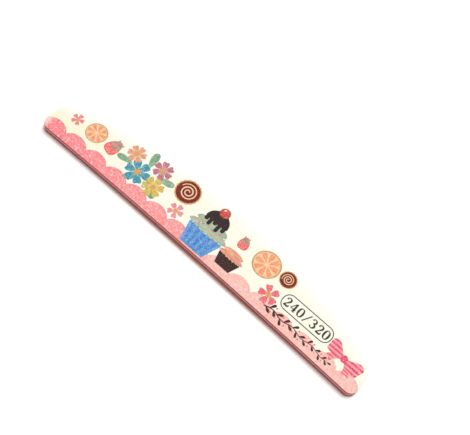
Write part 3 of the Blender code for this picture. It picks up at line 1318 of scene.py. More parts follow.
class Printer:
    """Lays ink on the printed sheet: it knows the die, the sheet's top and the inks."""

    def __init__(self, scene):
        self.sizes = scene.nail_file_print
        self.finish = scene.nail_file_layers
        self.colours = scene.nail_file_inks
        self.die = Die(scene.nail_file_die)
        self.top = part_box(PRINTED_SHEET)[1].z - self.finish.grain_height

    def level(self, step):
        """Height of the underside of the step-th film, counted from 0."""
        return self.top + (step - 0.5) * self.sizes.ink_step

    def ink(self, name, second=None, rim=0.3, streaks=0.0, specks=0.3, wash=0.25, fleck=None, hatch=None):
        """Material of one ink, made at its first use. tone leads from the first colour to the second.

        fleck is the ink of the pale specks and hatch that of the dark ones, where they aren't
        the bare ground and a deeper shade of the ink itself.
        """
        full_name = name + "_ink" if second is None else f"{name}_to_{second}_ink"
        found = bpy.data.materials.get(full_name)
        if found:
            return found
        inks, finish = self.colours, self.finish
        light = getattr(inks, fleck) if fleck else finish.ground
        material, tree, shader, place = new_material(full_name)
        tone = attribute(tree, "tone")
        along, across, inwards = axes(tree, attribute(tree, "ink_place", "Vector"))
        body = mixed(tree, tone, getattr(inks, name), getattr(inks, second or name))
        deep = mixed(tree, 1.0, body, DEEP_SHADE, blend="MULTIPLY")
        clouds = mottle(tree, place, high=wash, **INK_CLOUDS)
        shown = mixed(tree, clouds, body, mixed(tree, INK_PALE_SHARE, body, light))
        if streaks:
            drawn = vector_maths(tree, "MULTIPLY", as_vector(tree, along, across, tone), STREAK_STRETCH)
            shown = mixed(tree, mottle(tree, drawn, high=streaks, **STREAKS), shown, deep)
        shown = mixed(tree, between(tree, inwards, *INK_RIM_RANGE, rim, 0.0), shown, deep)
        crayon = noise(tree, place, **CRAYON)
        dark = mixed(tree, INK_HATCH_SHARE, body, getattr(inks, hatch)) if hatch else deep
        shown = mixed(tree, between(tree, crayon, *CRAYON_DARK_RANGE, specks, 0.0), shown, dark)
        shown = mixed(tree, between(tree, crayon, *CRAYON_BARE_RANGE, 0.0, specks), shown, light)
        # Painted glare: the ink pales towards the left end
        left_end = -self.die.half_length
        painted_glare = between(
            tree, axes(tree, place)[0], left_end, left_end + self.sizes.painted_glare_reach, PAINTED_GLARE_SHARE, 0.0)
        shown = mixed(tree, painted_glare, shown, light)
        grain = abrasive_grain(tree, place, finish.grain_size)
        # Painted shade in the hollows between the grains
        shown = shaded_in_hollows(tree, shown, grain, INK_HOLLOW_SHADE)
        dress_abrasive(tree, shader, shown, grain, finish.grain_size, **INK_GLOSS)
        return material

    def lay(self, name, flat, material):
        """Piece made of gathered flat shapes."""
        values = {"Thickness": self.sizes.ink_step, "Material": material}
        piece = grown(name, flat.mesh(name), made_once("ink_films", film_tree), values)
        finish_piece(piece)

    def lay_shape(self, name, outline, step, material):
        """Piece made of one filled outline."""
        flat = FlatInk()
        flat.add_shape(outline, self.level(step))
        self.lay(name, flat, material)

    def repeat(self, name, outline, places, material, copies=1, ring_radius=0.0, limit=None):
        """Piece made of an outline repeated in a ring at each place, within the limit if there is one."""
        shape = FlatInk()
        shape.add_shape(outline)
        stamp = bpy.data.objects.new(name + "_stamp", shape.mesh(name + "_stamp", with_tone=False))
        values = {
            "Shape": stamp, "Copies": copies, "Ring Radius": ring_radius,
            "Thickness": self.sizes.ink_step, "Material": material}
        if limit is None:
            tree = made_once("ink_motifs", motif_tree, False)
        else:
            tree = made_once("ink_motifs_inside", motif_tree, True)
            values["Outline"] = limit
        piece = grown(name, places_mesh(name, places), tree, values)
        discard(stamp)
        finish_piece(piece)

    def spots(self, shares, size, step):
        """Places of a motif from its table of shares: along, across, size, turn and tone."""
        rows = []
        for number, (along, across, scale, turn, tone) in enumerate(shares):
            x, y = self.die.place(along, across)
            z = self.level(step + number / len(shares) / 4)
            rows.append((x, y, z, size * scale, size * scale, turn, tone))
        return rows

    def stamp(self, name, outline, shares, size, step, material, **ring):
        """Piece made of an outline, or a ring of them, at each place of a table of shares."""
        self.repeat(name, outline, self.spots(shares, size, step), material, **ring)


# Border

# How far the border has turned from its first ink to its second, at shares of the half length
BORDER_TONE_SHARES = ((-1.0, 0.0), (-0.13, 0.35), (0.14, 1.0))

# Half width of a scallop beside the pitch, and reach of the part below its middle
LOBE_WIDTH_SHARE = 0.56
LOBE_FOOT_SHARE = 0.6
LOBE_STEPS = 72
LIMIT_RUNGS = 640


class NAILFILE_OT_scalloped_border(bpy.types.Operator):
    """Print the scalloped border along the straight edge"""

    bl_idname = "nailfile.scalloped_border"
    bl_label = "Scalloped border"

    def execute(self, context):
        printer = Printer(context.scene)
        sizes, die = printer.sizes, printer.die
        ring = die.ring(sizes.margin, LIMIT_RUNGS)
        outline = new_mesh("print_limit", [(x, y, 0) for x, y in ring], [tuple(range(len(ring)))])
        limit = bpy.data.objects.new("print_limit", outline)
        count = math.ceil(2 * die.half_length / sizes.border_pitch)
        pitch = 2 * die.half_length / count
        reach = sizes.border_height - sizes.border_rise
        places = []
        for lobe in range(count):
            x = -die.half_length + pitch * (lobe + 0.5)
            tone = np.interp(x / die.half_length, *zip(*BORDER_TONE_SHARES))
            for rise, step, height in (
                    (sizes.border_rise, lobe % 2, reach), (0.0, -1, reach * LOBE_FOOT_SHARE)):
                places.append((
                    x, die.straight_y(x) + rise, printer.level(step),
                    pitch * LOBE_WIDTH_SHARE, height, 0.0, tone))
        material = printer.ink("coral", "blush", rim=0.14, specks=0.6, hatch="rose")
        printer.repeat("scalloped_border", ellipse(steps=LOBE_STEPS), places, material, limit=limit)
        discard(limit)
        return {"FINISHED"}


# Blossoms, fruit and biscuits

# Along, across, size, turn and tone of each motif, as shares
BLOSSOM_SHARES = (
    (-0.885, 0.72, 0.5, 0.3, 0.5),
    (0.405, 0.34, 0.78, 0.9, 0.1),
    (-0.2, 0.35, 0.62, 0.1, 0.7),
)
POSY_LEAF_SHARES = (
    (-0.42, 0.5, 1.7, -0.62, 0.2),
    (-0.44, 0.5, 1.5, -2.3, 0.5),
    (-0.45, 0.62, 1.55, 1.75, 0.3),
    (-0.39, 0.6, 1.45, 0.25, 0.6),
    (-0.52, 0.55, 1.35, 3.3, 0.4),
)
CITRUS_SHARES = (
    (-0.765, 0.66, 0.78, 0.2, 0.1),
    (0.3, 0.7, 1.0, 0.1, 0.0),
)
BISCUIT_SHARES = (
    (-0.225, 0.74, 1.05, 0.4, 0.0),
    (0.425, 0.78, 0.7, 1.2, 0.3),
)
STRAWBERRY_SHARES = (
    (-0.655, 0.55, 0.95, -1.9, 0.2),
    (0.152, 0.66, 0.72, -1.45, 0.0),
)

# The posy: two inks and the place of each of its blossoms, and how they overlap
POSY_SHARES = (
    ("teal", "cobalt", (-0.475, 0.47, 0.98, 0.2, 0.3)),
    ("plum", "petal_pink", (-0.39, 0.78, 0.78, 0.9, 0.3)),
    ("lemon", "peach", (-0.365, 0.42, 0.84, 0.5, 0.1)),
    ("salmon", "peach", (-0.545, 0.76, 0.72, 0.4, 0.2)),
)
POSY_FIRST_STEP = 2.7
POSY_NEXT_STEP = 0.4


class NAILFILE_OT_blossoms(bpy.types.Operator):
    """Print the blossoms and the posy"""

    bl_idname = "nailfile.blossoms"
    bl_label = "Blossoms"

    def execute(self, context):
        printer = Printer(context.scene)
        size = printer.sizes.blossom
        petal = drop(width=0.42, taper=0.75, blunt=0.62, notch=0.1)
        leaf = drop(width=0.24, taper=0.55, blunt=1.0)
        printer.stamp(
            "posy_leaves", leaf, POSY_LEAF_SHARES, size, 2, printer.ink("leaf", "sage", streaks=0.6))
        printer.stamp(
            "blossom_petals", petal, BLOSSOM_SHARES, size, 2,
            printer.ink("rose", "petal_pink", streaks=0.5), copies=5)
        for number, (first, second, shares) in enumerate(POSY_SHARES):
            printer.stamp(
                f"posy_{first}_petals", petal, [shares], size, POSY_FIRST_STEP + number * POSY_NEXT_STEP,
                printer.ink(first, second, streaks=0.7), copies=6)
        every = [*BLOSSOM_SHARES, *(shares for *_, shares in POSY_SHARES)]
        printer.stamp(
            "blossom_eyes", ellipse(width=0.22, height=0.22, steps=20), every, size, 5,
            printer.ink("caramel"))
        printer.stamp(
            "blossom_stamens", ellipse(width=0.055, height=0.055, steps=8), every, size, 6,
            printer.ink("lemon", specks=0.0), copies=7, ring_radius=0.29)
        return {"FINISHED"}


class NAILFILE_OT_citrus_slices(bpy.types.Operator):
    """Print the citrus slices with their segments"""

    bl_idname = "nailfile.citrus_slices"
    bl_label = "Citrus slices"

    def execute(self, context):
        printer = Printer(context.scene)
        size = printer.sizes.citrus
        segment = drop(width=0.31, taper=0.8, blunt=0.34) * 0.7
        for name, outline, step, material, ring in (
                ("citrus_rinds", ellipse(height=0.97), 2, printer.ink("caramel", "orange"), {}),
                ("citrus_piths", ellipse(width=0.9, height=0.88), 3, printer.ink("peach"), {}),
                ("citrus_segments", segment, 4, printer.ink("orange", "salmon", streaks=0.35),
                 {"copies": 8, "ring_radius": 0.12})):
            printer.stamp(name, outline, CITRUS_SHARES, size, step, material, **ring)
        return {"FINISHED"}


# Icing spirals: turns, points, pen's width, first and last radius, and the pen's thinnest part
SPIRAL_TURNS = 2.4
SPIRAL_POINTS = 90
SPIRAL_WIDTH_SHARE = 0.11
SPIRAL_START_SHARE = 0.1
SPIRAL_REACH_SHARE = 0.62
SPIRAL_THIN_SHARE = 0.6
SPIRAL_TIP_ANGLE = 0.2


class NAILFILE_OT_biscuits(bpy.types.Operator):
    """Print the chocolate biscuits with their icing spirals"""

    bl_idname = "nailfile.biscuits"
    bl_label = "Biscuits"

    def execute(self, context):
        printer = Printer(context.scene)
        size = printer.sizes.biscuit
        printer.stamp(
            "biscuit_rims", ellipse(width=0.16, height=0.2, steps=12), BISCUIT_SHARES, size, 2,
            printer.ink("caramel"), copies=18, ring_radius=0.9)
        printer.stamp(
            "biscuit_faces", ellipse(width=0.94, height=0.92), BISCUIT_SHARES, size, 3,
            printer.ink("chocolate", rim=0.4, specks=0.4, fleck="red"))
        angles = np.linspace(0, SPIRAL_TURNS * FULL_TURN, SPIRAL_POINTS)
        press = np.sin(np.linspace(SPIRAL_TIP_ANGLE, math.pi - SPIRAL_TIP_ANGLE, SPIRAL_POINTS))
        pen = SPIRAL_WIDTH_SHARE * (SPIRAL_THIN_SHARE + (1 - SPIRAL_THIN_SHARE) * press)
        spiral = FlatInk()
        for x, y, z, width, _, turn, tone in printer.spots(BISCUIT_SHARES, size, 4):
            reach = width * (SPIRAL_START_SHARE + SPIRAL_REACH_SHARE * angles / angles[-1])
            line = np.stack([x + reach * np.cos(angles + turn), y + reach * np.sin(angles + turn)], 1)
            spiral.add_stroke(line, width * pen, z, tone)
        printer.lay("biscuit_spirals", spiral, printer.ink("peach"))
        return {"FINISHED"}


# Strawberries: rows of seeds as along and reach, the seeds' places across and the crown's place
SEED_ROWS_SHARES = ((0.2, 0.34), (0.42, 0.4), (0.64, 0.28))
SEED_ACROSS_SHARES = (-0.7, 0.0, 0.7)
SEED_REACH_SHARE = 0.8
SEED_SIZE_SHARES = (0.05, 0.035)
BERRY_MIDDLE_SHARE = 0.65
SEED_MIDDLE_SHARE = 0.42
CROWN_PLACE_SHARE = -0.36
CROWN_SIZE_SHARE = 0.36


class NAILFILE_OT_strawberries(bpy.types.Operator):
    """Print the strawberries with their seeds and leaves"""

    bl_idname = "nailfile.strawberries"
    bl_label = "Strawberries"

    def execute(self, context):
        printer = Printer(context.scene)
        size = printer.sizes.strawberry
        body = drop(width=0.46, taper=0.28, blunt=0.62) - (BERRY_MIDDLE_SHARE, 0)
        printer.stamp(
            "strawberry_bodies", body, STRAWBERRY_SHARES, size, 5, printer.ink("rose", "coral", rim=0.5))
        seeds = []
        crowns = []
        for x, y, z, width, _, turn, tone in printer.spots(STRAWBERRY_SHARES, size, 6):
            heading = turned(turn) * width
            seed_size = (width * share for share in SEED_SIZE_SHARES)
            own = (*seed_size, turn, tone)
            for along, reach in SEED_ROWS_SHARES:
                for across in SEED_ACROSS_SHARES:
                    spot = (along - SEED_MIDDLE_SHARE, across * reach * SEED_REACH_SHARE) @ heading
                    seeds.append((x + spot[0], y + spot[1], z, *own))
            spot = (CROWN_PLACE_SHARE, 0) @ heading
            reach = width * CROWN_SIZE_SHARE
            crowns.append((
                x + spot[0], y + spot[1], z + printer.sizes.ink_step, reach, reach, turn, tone))
        printer.repeat("strawberry_seeds", ellipse(steps=8), seeds, printer.ink("lemon", specks=0.0))
        crown = drop(width=0.2, taper=0.5, blunt=1.0)
        printer.repeat("strawberry_caps", crown, crowns, printer.ink("leaf"), copies=5)
        return {"FINISHED"}


# Cupcakes: along and across of the foot, width and height of the whole, tiers, and what is on top
CUPCAKE_SHARES = (
    (-0.018, 0.03, 1.0, 1.0, 4, "cherry"),
    (0.152, 0.13, 0.62, 0.56, 2, "plain"),
)

# Inks of each cupcake: its wrapper's two and its pale specks, then its icing's two
CUPCAKE_INKS = (
    ("blue", "cobalt", None, "sage", "leaf"),
    ("black", "bark", "chocolate", "salmon", "peach"),
)

# Wrappers: height, width at the foot and at the top, pleats, their tips and their dark tone
WRAPPER_HEIGHT_SHARE = 0.38
WRAPPER_FOOT_SHARE = 0.64
WRAPPER_TOP_SHARE = 0.93
PLEATS = 11
PLEAT_TIP_SHARE = 1.09
PLEAT_TONE = 0.6

# Icing: widths and rise of its tiers, first and next middle, dome, waves and their depths
TIER_SPAN_SHARES = (1.06, 0.86, 0.62, 0.36)
TIER_RISE_SHARE = 0.128
TIER_FIRST_SHARE = 0.5
TIER_NEXT_SHARE = 1.25
FIRST_TIER_WAVES = 7
WAVE_STEPS = 8
SAG_SHARE = 0.45
WAVE_SHARE = 0.3
END_WAVE_SHARE = 0.35

# Sauce: half width, dome and sag of its cap, its height, and each drip's place, width and length
SAUCE_SHARES = (0.3, 0.27, 0.05)
SAUCE_RISE_SHARE = 0.68
SAUCE_DRIP_SHARES = (
    (-0.24, 0.05, 0.13), (-0.125, 0.045, 0.2), (-0.01, 0.052, 0.11),
    (0.11, 0.045, 0.23), (0.235, 0.05, 0.14))

# Cherry: radius beside the cupcake's height, its height beside its width, and its glint
CHERRY_RADIUS_SHARE = 0.1
CHERRY_HEIGHT_SHARE = 0.94
GLINT_SIZE_SHARES = (0.22, 0.14)
GLINT_PLACE_SHARES = (-0.35, 0.4)
GLINT_TURN = 0.7

# Sprinkles: how many, the golden angle, their spread, middle, half sizes and turn
SPRINKLES = 26
GOLDEN_ANGLE = 2.4
SPRINKLE_SPREAD_SHARES = (0.46, 0.11)
SPRINKLE_RISE_SHARE = 0.12
SPRINKLE_SIZE_SHARES = (0.022, 0.009)
SPRINKLE_TURN = 1.7


class NAILFILE_OT_cupcakes(bpy.types.Operator):
    """Print the cupcakes in their pleated wrappers"""

    bl_idname = "nailfile.cupcakes"
    bl_label = "Cupcakes"

    def execute(self, context):
        printer = Printer(context.scene)
        for (along, across, wide, tall, tiers, topping), inks in zip(CUPCAKE_SHARES, CUPCAKE_INKS):
            foot = np.array(printer.die.place(along, across))
            width = printer.sizes.cupcake_width * wide
            height = printer.sizes.cupcake_height * tall
            outer, inner, fleck, icing, shade = inks
            self.print_wrapper(
                printer, foot, width, height, printer.ink(outer, inner, rim=0.35, fleck=fleck))
            self.print_icing(
                printer, foot, width, height, tiers, printer.ink(icing, shade, rim=0.4, streaks=0.2))
            if topping == "cherry":
                self.print_sauce(printer, foot, width, height)
                self.print_cherry(printer, foot + (0, height * (1 - CHERRY_RADIUS_SHARE)), height)
                self.print_sprinkles(printer, foot, width, height)
        return {"FINISHED"}

    def print_wrapper(self, printer, foot, width, height, material):
        """The pleats, each a little darker or lighter than the next."""
        pleats = FlatInk()
        rise = WRAPPER_HEIGHT_SHARE * height
        low, high = WRAPPER_FOOT_SHARE * width, WRAPPER_TOP_SHARE * width
        for pleat in range(PLEATS):
            left, right = pleat / PLEATS - 0.5, (pleat + 1) / PLEATS - 0.5
            outline = np.array([
                (left * low, 0), (right * low, 0), (right * high, rise),
                ((left + right) / 2 * high, rise * PLEAT_TIP_SHARE), (left * high, rise)])
            pleats.add_shape(outline + foot, printer.level(2), (pleat % 2) * PLEAT_TONE)
        printer.lay(f"cupcake_wrapper_{material.name.split('_')[0]}", pleats, material)

    def print_icing(self, printer, foot, width, height, count, material):
        """Tiers of piped icing, each with a wavy lower edge."""
        tiers = FlatInk()
        depth = width * TIER_RISE_SHARE
        for number in range(count):
            span = width * TIER_SPAN_SHARES[number]
            rise = height * WRAPPER_HEIGHT_SHARE + depth * (TIER_FIRST_SHARE + number * TIER_NEXT_SHARE)
            waves = FIRST_TIER_WAVES - number
            share = np.linspace(0, 1, WAVE_STEPS * waves + 1)
            hump = 1 - (2 * share - 1) ** 2
            ripple = np.abs(np.sin(share * waves * math.pi)) * (END_WAVE_SHARE + (1 - END_WAVE_SHARE) * hump)
            lower = np.stack([(share - 0.5) * span, -depth * (SAG_SHARE * hump + WAVE_SHARE * ripple)], 1)
            upper = np.stack([(0.5 - share) * span, depth * TIER_NEXT_SHARE * hump ** 0.5], 1)
            outline = np.concatenate([lower[:-1], upper[:-1]]) + foot + (0, rise)
            tiers.add_shape(outline, printer.level(3 + number), number / (count + 1))
        printer.lay(f"cupcake_icing_{material.name.split('_')[0]}", tiers, material)

    def print_sauce(self, printer, foot, width, height):
        """Dark sauce that caps the upper tiers and runs down in round drips."""
        rise = foot + (0, height * SAUCE_RISE_SHARE)
        half, dome, sag = (width * share for share in SAUCE_SHARES)
        sauce = FlatInk()
        cap = ellipse(half, 1.0, steps=48)
        cap[:, 1] *= np.where(cap[:, 1] > 0, dome, sag)
        sauce.add_shape(cap + rise, printer.level(7))
        for along, reach, length in SAUCE_DRIP_SHARES:
            tip = ellipse(reach * width, reach * width, steps=24)
            tip[:, 1] -= np.where(tip[:, 1] > 0, 0, (length - reach) * width)
            sauce.add_shape(tip + rise + (along * width, 0), printer.level(7.5))
        printer.lay("cupcake_sauce", sauce, printer.ink("black", rim=0.2, wash=0.15, fleck="chocolate"))

    def print_cherry(self, printer, centre, height):
        """A cherry with its glint."""
        radius = CHERRY_RADIUS_SHARE * height
        cherry = ellipse(radius, radius * CHERRY_HEIGHT_SHARE, steps=32, centre=centre)
        printer.lay_shape("cupcake_cherry", cherry, 8, printer.ink("red", rim=0.6))
        half_x, half_y = (radius * share for share in GLINT_SIZE_SHARES)
        middle = centre + radius * np.array(GLINT_PLACE_SHARES)
        glint = ellipse(half_x, half_y, steps=12, centre=middle, turn=GLINT_TURN)
        printer.lay_shape("cherry_glint", glint, 9, printer.ink("white", specks=0.0))

    def print_sprinkles(self, printer, foot, width, height):
        """Sugar sprinkles, spread evenly by the golden angle."""
        spread_x, spread_y = SPRINKLE_SPREAD_SHARES
        sizes = [height * share for share in SPRINKLE_SIZE_SHARES]
        places = []
        for number in range(SPRINKLES):
            swing = number * GOLDEN_ANGLE
            reach = math.sqrt((number + 0.5) / SPRINKLES)
            x = foot[0] + width * spread_x * reach * math.cos(swing)
            rise = WRAPPER_HEIGHT_SHARE + SPRINKLE_RISE_SHARE + spread_y * reach * math.sin(swing)
            y = foot[1] + height * rise
            places.append((x, y, printer.level(6), *sizes, swing * SPRINKLE_TURN, (number % 4) / 3))
        material = printer.ink("magenta", "lemon", specks=0.0)
        printer.repeat("cupcake_sprinkles", ellipse(steps=10), places, material)


# Digits

# Strokes of each digit: x, y and the pen's width at each point, as shares of the digit's height
DIGIT_STROKE_SHARES = {
    "0": (
        ("closed", (0.33, 0.97, 0.07), (0.52, 0.84, 0.14), (0.58, 0.5, 0.18), (0.52, 0.16, 0.14),
         (0.33, 0.03, 0.07), (0.14, 0.16, 0.14), (0.08, 0.5, 0.18), (0.14, 0.84, 0.14)),),
    "2": (
        ("open", (0.12, 0.7, 0.16), (0.15, 0.86, 0.1), (0.33, 0.96, 0.09), (0.53, 0.84, 0.15),
         (0.51, 0.62, 0.16), (0.33, 0.37, 0.11), (0.09, 0.08, 0.08)),
        ("open", (0.07, 0.07, 0.13), (0.3, 0.08, 0.16), (0.54, 0.08, 0.14), (0.62, 0.27, 0.07))),
    "3": (
        ("open", (0.11, 0.77, 0.16), (0.15, 0.92, 0.09), (0.32, 0.97, 0.09), (0.5, 0.86, 0.15),
         (0.49, 0.66, 0.14), (0.27, 0.54, 0.07)),
        ("open", (0.27, 0.54, 0.07), (0.5, 0.47, 0.13), (0.57, 0.26, 0.18), (0.44, 0.07, 0.12),
         (0.23, 0.03, 0.08), (0.1, 0.19, 0.15))),
    "4": (
        ("straight", (0.43, 0.97, 0.08), (0.04, 0.31, 0.07)),
        ("straight", (0.01, 0.28, 0.08), (0.64, 0.28, 0.08)),
        ("straight", (0.45, 0.98, 0.17), (0.45, 0.04, 0.17)),
        ("straight", (0.28, 0.03, 0.07), (0.62, 0.03, 0.07))),
    "/": (("straight", (0.06, -0.04, 0.1), (0.6, 1.02, 0.1)),),
}
GRADES = "240/320"
GRADE_FRAME_SHARES = (0.6118, 0.543)
DIGIT_INDENT_SHARE = 0.08
STROKE_STEPS = 7
CORNER_STEPS = 8

# How many drawn points raise the next stroke by one film, so that strokes don't share a face
POINTS_PER_FILM = 4000


class NAILFILE_OT_grades(bpy.types.Operator):
    """Print the two grit grades in their frame"""

    bl_idname = "nailfile.grades"
    bl_label = "Grades"

    def execute(self, context):
        printer = Printer(context.scene)
        sizes = printer.sizes
        centre_x, centre_y = printer.die.place(*GRADE_FRAME_SHARES)
        lines = FlatInk()
        self.add_frame(lines, centre_x, centre_y, printer)
        left = centre_x - sizes.digit_pitch * (len(GRADES) / 2 - DIGIT_INDENT_SHARE)
        low = centre_y - sizes.digit_height / 2
        for number, character in enumerate(GRADES):
            for kind, *points in DIGIT_STROKE_SHARES[character]:
                closed = kind == "closed"
                shape = np.array(points) if kind == "straight" else smooth_line(points, STROKE_STEPS, closed)
                line = shape[:, :2] * sizes.digit_height + (left + sizes.digit_pitch * number, low)
                widths = shape[:, 2] * sizes.digit_height * sizes.digit_weight
                level = printer.level(3 + len(lines.points) / POINTS_PER_FILM)
                lines.add_stroke(line, widths, level, closed=closed)
        material = printer.ink("line", rim=0.0, specks=0.06, wash=0.05)
        printer.lay("grade_frame_and_digits", lines, material)
        return {"FINISHED"}

    def add_frame(self, lines, centre_x, centre_y, printer):
        """A rectangle with round corners, drawn as one closed stroke."""
        sizes = printer.sizes
        half_x = sizes.frame_length / 2 - sizes.frame_corner
        half_y = sizes.frame_height / 2 - sizes.frame_corner
        outline = []
        for quarter, (right, up) in enumerate(((1, 1), (-1, 1), (-1, -1), (1, -1))):
            for step in range(CORNER_STEPS + 1):
                angle = (quarter + step / CORNER_STEPS) * math.pi / 2
                outline.append((
                    centre_x + right * half_x + sizes.frame_corner * math.cos(angle),
                    centre_y + up * half_y + sizes.frame_corner * math.sin(angle)))
        lines.add_stroke(outline, np.full(len(outline), sizes.frame_line), printer.level(3), closed=True)


# Sprig: waypoints of its stem, its leaves' length, and how leaves and berries stand out from it
SPRIG_SHARES = (
    (0.42, 0.15), (0.47, 0.2), (0.53, 0.16), (0.59, 0.215),
    (0.65, 0.17), (0.71, 0.22), (0.77, 0.18), (0.81, 0.2))
STEM_STEPS = 10
STEM_TIP_SHARE = 0.45
LEAF_LENGTH_SHARE = 0.24
LEAF_SPACING = 4
LEAF_SHRINKAGE = 0.35
LEAF_ANGLE = 0.75
LEAVES_PER_FILM = 60
LAST_LEAF_SHARE = 0.6
BERRY_ANGLE = 1.1
BERRY_PLACE_SHARE = 0.55
BERRY_RADIUS_SHARE = 0.13


class NAILFILE_OT_leafy_sprig(bpy.types.Operator):
    """Print the dark leafy sprig below the grades"""

    bl_idname = "nailfile.leafy_sprig"
    bl_label = "Leafy sprig"

    def execute(self, context):
        printer = Printer(context.scene)
        stem = smooth_line([printer.die.place(*share) for share in SPRIG_SHARES], STEM_STEPS)
        taper = np.linspace(1.0, STEM_TIP_SHARE, len(stem)) * printer.sizes.sprig_line
        drawn = FlatInk()
        drawn.add_stroke(stem, taper, printer.level(3))
        material = printer.ink("bark", rim=0.0, specks=0.1, fleck="chocolate")
        printer.lay("sprig_stem", drawn, material)
        length = LEAF_LENGTH_SHARE * printer.die.bowed_y(0)
        leaves = []
        berries = []
        for number, step in enumerate(range(2, len(stem) - 1, LEAF_SPACING)):
            x, y = stem[step]
            heading = direction(stem[step - 1], stem[step + 1])
            side = 1 if number % 2 else -1
            own = length * (1 - LEAF_SHRINKAGE * step / len(stem))
            level = printer.level(4 + number / LEAVES_PER_FILM)
            leaves.append((x, y, level, own, own, heading + side * LEAF_ANGLE, 0.0))
            swing = heading - side * BERRY_ANGLE
            reach, radius = own * BERRY_PLACE_SHARE, own * BERRY_RADIUS_SHARE
            berries.append((
                x + reach * math.cos(swing), y + reach * math.sin(swing), level, radius, radius, 0.0, 0.0))
        tip = length * LAST_LEAF_SHARE
        leaves.append((*stem[-1], printer.level(4), tip, tip, heading, 0.0))
        printer.repeat("sprig_leaves", drop(width=0.27, taper=0.6, blunt=1.0), leaves, material)
        printer.repeat("sprig_berries", ellipse(steps=14), berries, printer.ink("rose", rim=0.4))
        return {"FINISHED"}


# Bow: its centre as shares of the face, and its outlines in shares of its half width
BOW_SHARES = (0.862, 0.56)
BOW_LOOP_SHARES = (
    (0.02, 0.0), (0.3, 0.2), (0.68, 0.44), (0.98, 0.34),
    (0.96, 0.02), (0.9, -0.24), (0.6, -0.26), (0.28, -0.14))
BOW_TAIL_SHARES = (
    (0.02, -0.04), (0.26, -0.28), (0.42, -0.62), (0.56, -0.5), (0.75, -0.51), (0.6, -0.27), (0.34, -0.08))
BOW_TURN = -0.16
BOW_STEPS = 5
TAIL_TONE = 0.1
KNOT_SIZE_SHARES = (0.17, 0.2)

# Stripes of the ribbon: how close they fan out, and how they show
STRIPE_WAVES = 17.0
STRIPES = dict(start=-0.1, end=0.35, low=0.0, high=0.72)


class NAILFILE_OT_ribbon_bow(bpy.types.Operator):
    """Print the striped ribbon bow"""

    bl_idname = "nailfile.ribbon_bow"
    bl_label = "Ribbon bow"

    def execute(self, context):
        printer = Printer(context.scene)
        centre = np.array(printer.die.place(*BOW_SHARES))
        half = printer.sizes.bow_width / 2
        ribbon = FlatInk()
        for mirror in (1, -1):
            for step, table, tone in ((2, BOW_TAIL_SHARES, TAIL_TONE), (3, BOW_LOOP_SHARES, 0.0)):
                points = smooth_line(table, BOW_STEPS, closed=True) * (mirror, 1)
                outline = points[::-mirror] @ turned(BOW_TURN) * half + centre
                ribbon.add_shape(outline, printer.level(step), tone)
        printer.lay("bow_ribbon", ribbon, self.striped(printer))
        half_x, half_y = (half * share for share in KNOT_SIZE_SHARES)
        knot = ellipse(half_x, half_y, steps=24, centre=centre, turn=BOW_TURN)
        printer.lay_shape("bow_knot", knot, 4, printer.ink("magenta", rim=0.5))
        return {"FINISHED"}

    def striped(self, printer):
        """Magenta ink with pale stripes that fan out from the knot."""
        material = printer.ink("magenta", "petal_pink", rim=0.5, wash=0.2).copy()
        material.name = "striped_ribbon_ink"
        tree = material.node_tree
        colour = tree.nodes["Principled BSDF"].inputs["Base Color"]
        across = axes(tree, attribute(tree, "ink_place", "Vector"))[1]
        wave = maths(tree, "SINE", maths(tree, "MULTIPLY", across, STRIPE_WAVES))
        plain = colour.links[0].from_socket
        plug(tree, colour, mixed(tree, between(tree, wave, **STRIPES), plain, printer.colours.blush))
        return material


# Stage

# Painted contact shadow on the floor: where it starts to fade and what is left of it at the ends, as shares
FADE_START_SHARE = 1 / 6
FADE_END_SHARE = 0.35
OPEN_RANGE = (0.5, 1.0)
CONTACT_SAMPLES = 8
WHITE = (1.0, 1.0, 1.0)


def show_to_camera(tree, kind, output, hidden, seen):
    """Light the scene with one colour and strength, and show the camera another.

    The second is seen directly, in a mirror and through glass.
    """
    path = add_node(tree, "ShaderNodeLightPath").outputs
    share = maths(tree, "MAXIMUM", path["Is Camera Ray"], path["Is Glossy Ray"])
    share = maths(tree, "MAXIMUM", share, path["Is Transmission Ray"])
    shaders = {0: share, 1: add_node(tree, kind, hidden), 2: add_node(tree, kind, seen)}
    shown = add_node(tree, "ShaderNodeMixShader", shaders)
    plug(tree, tree.nodes.new(output).inputs["Surface"], shown)


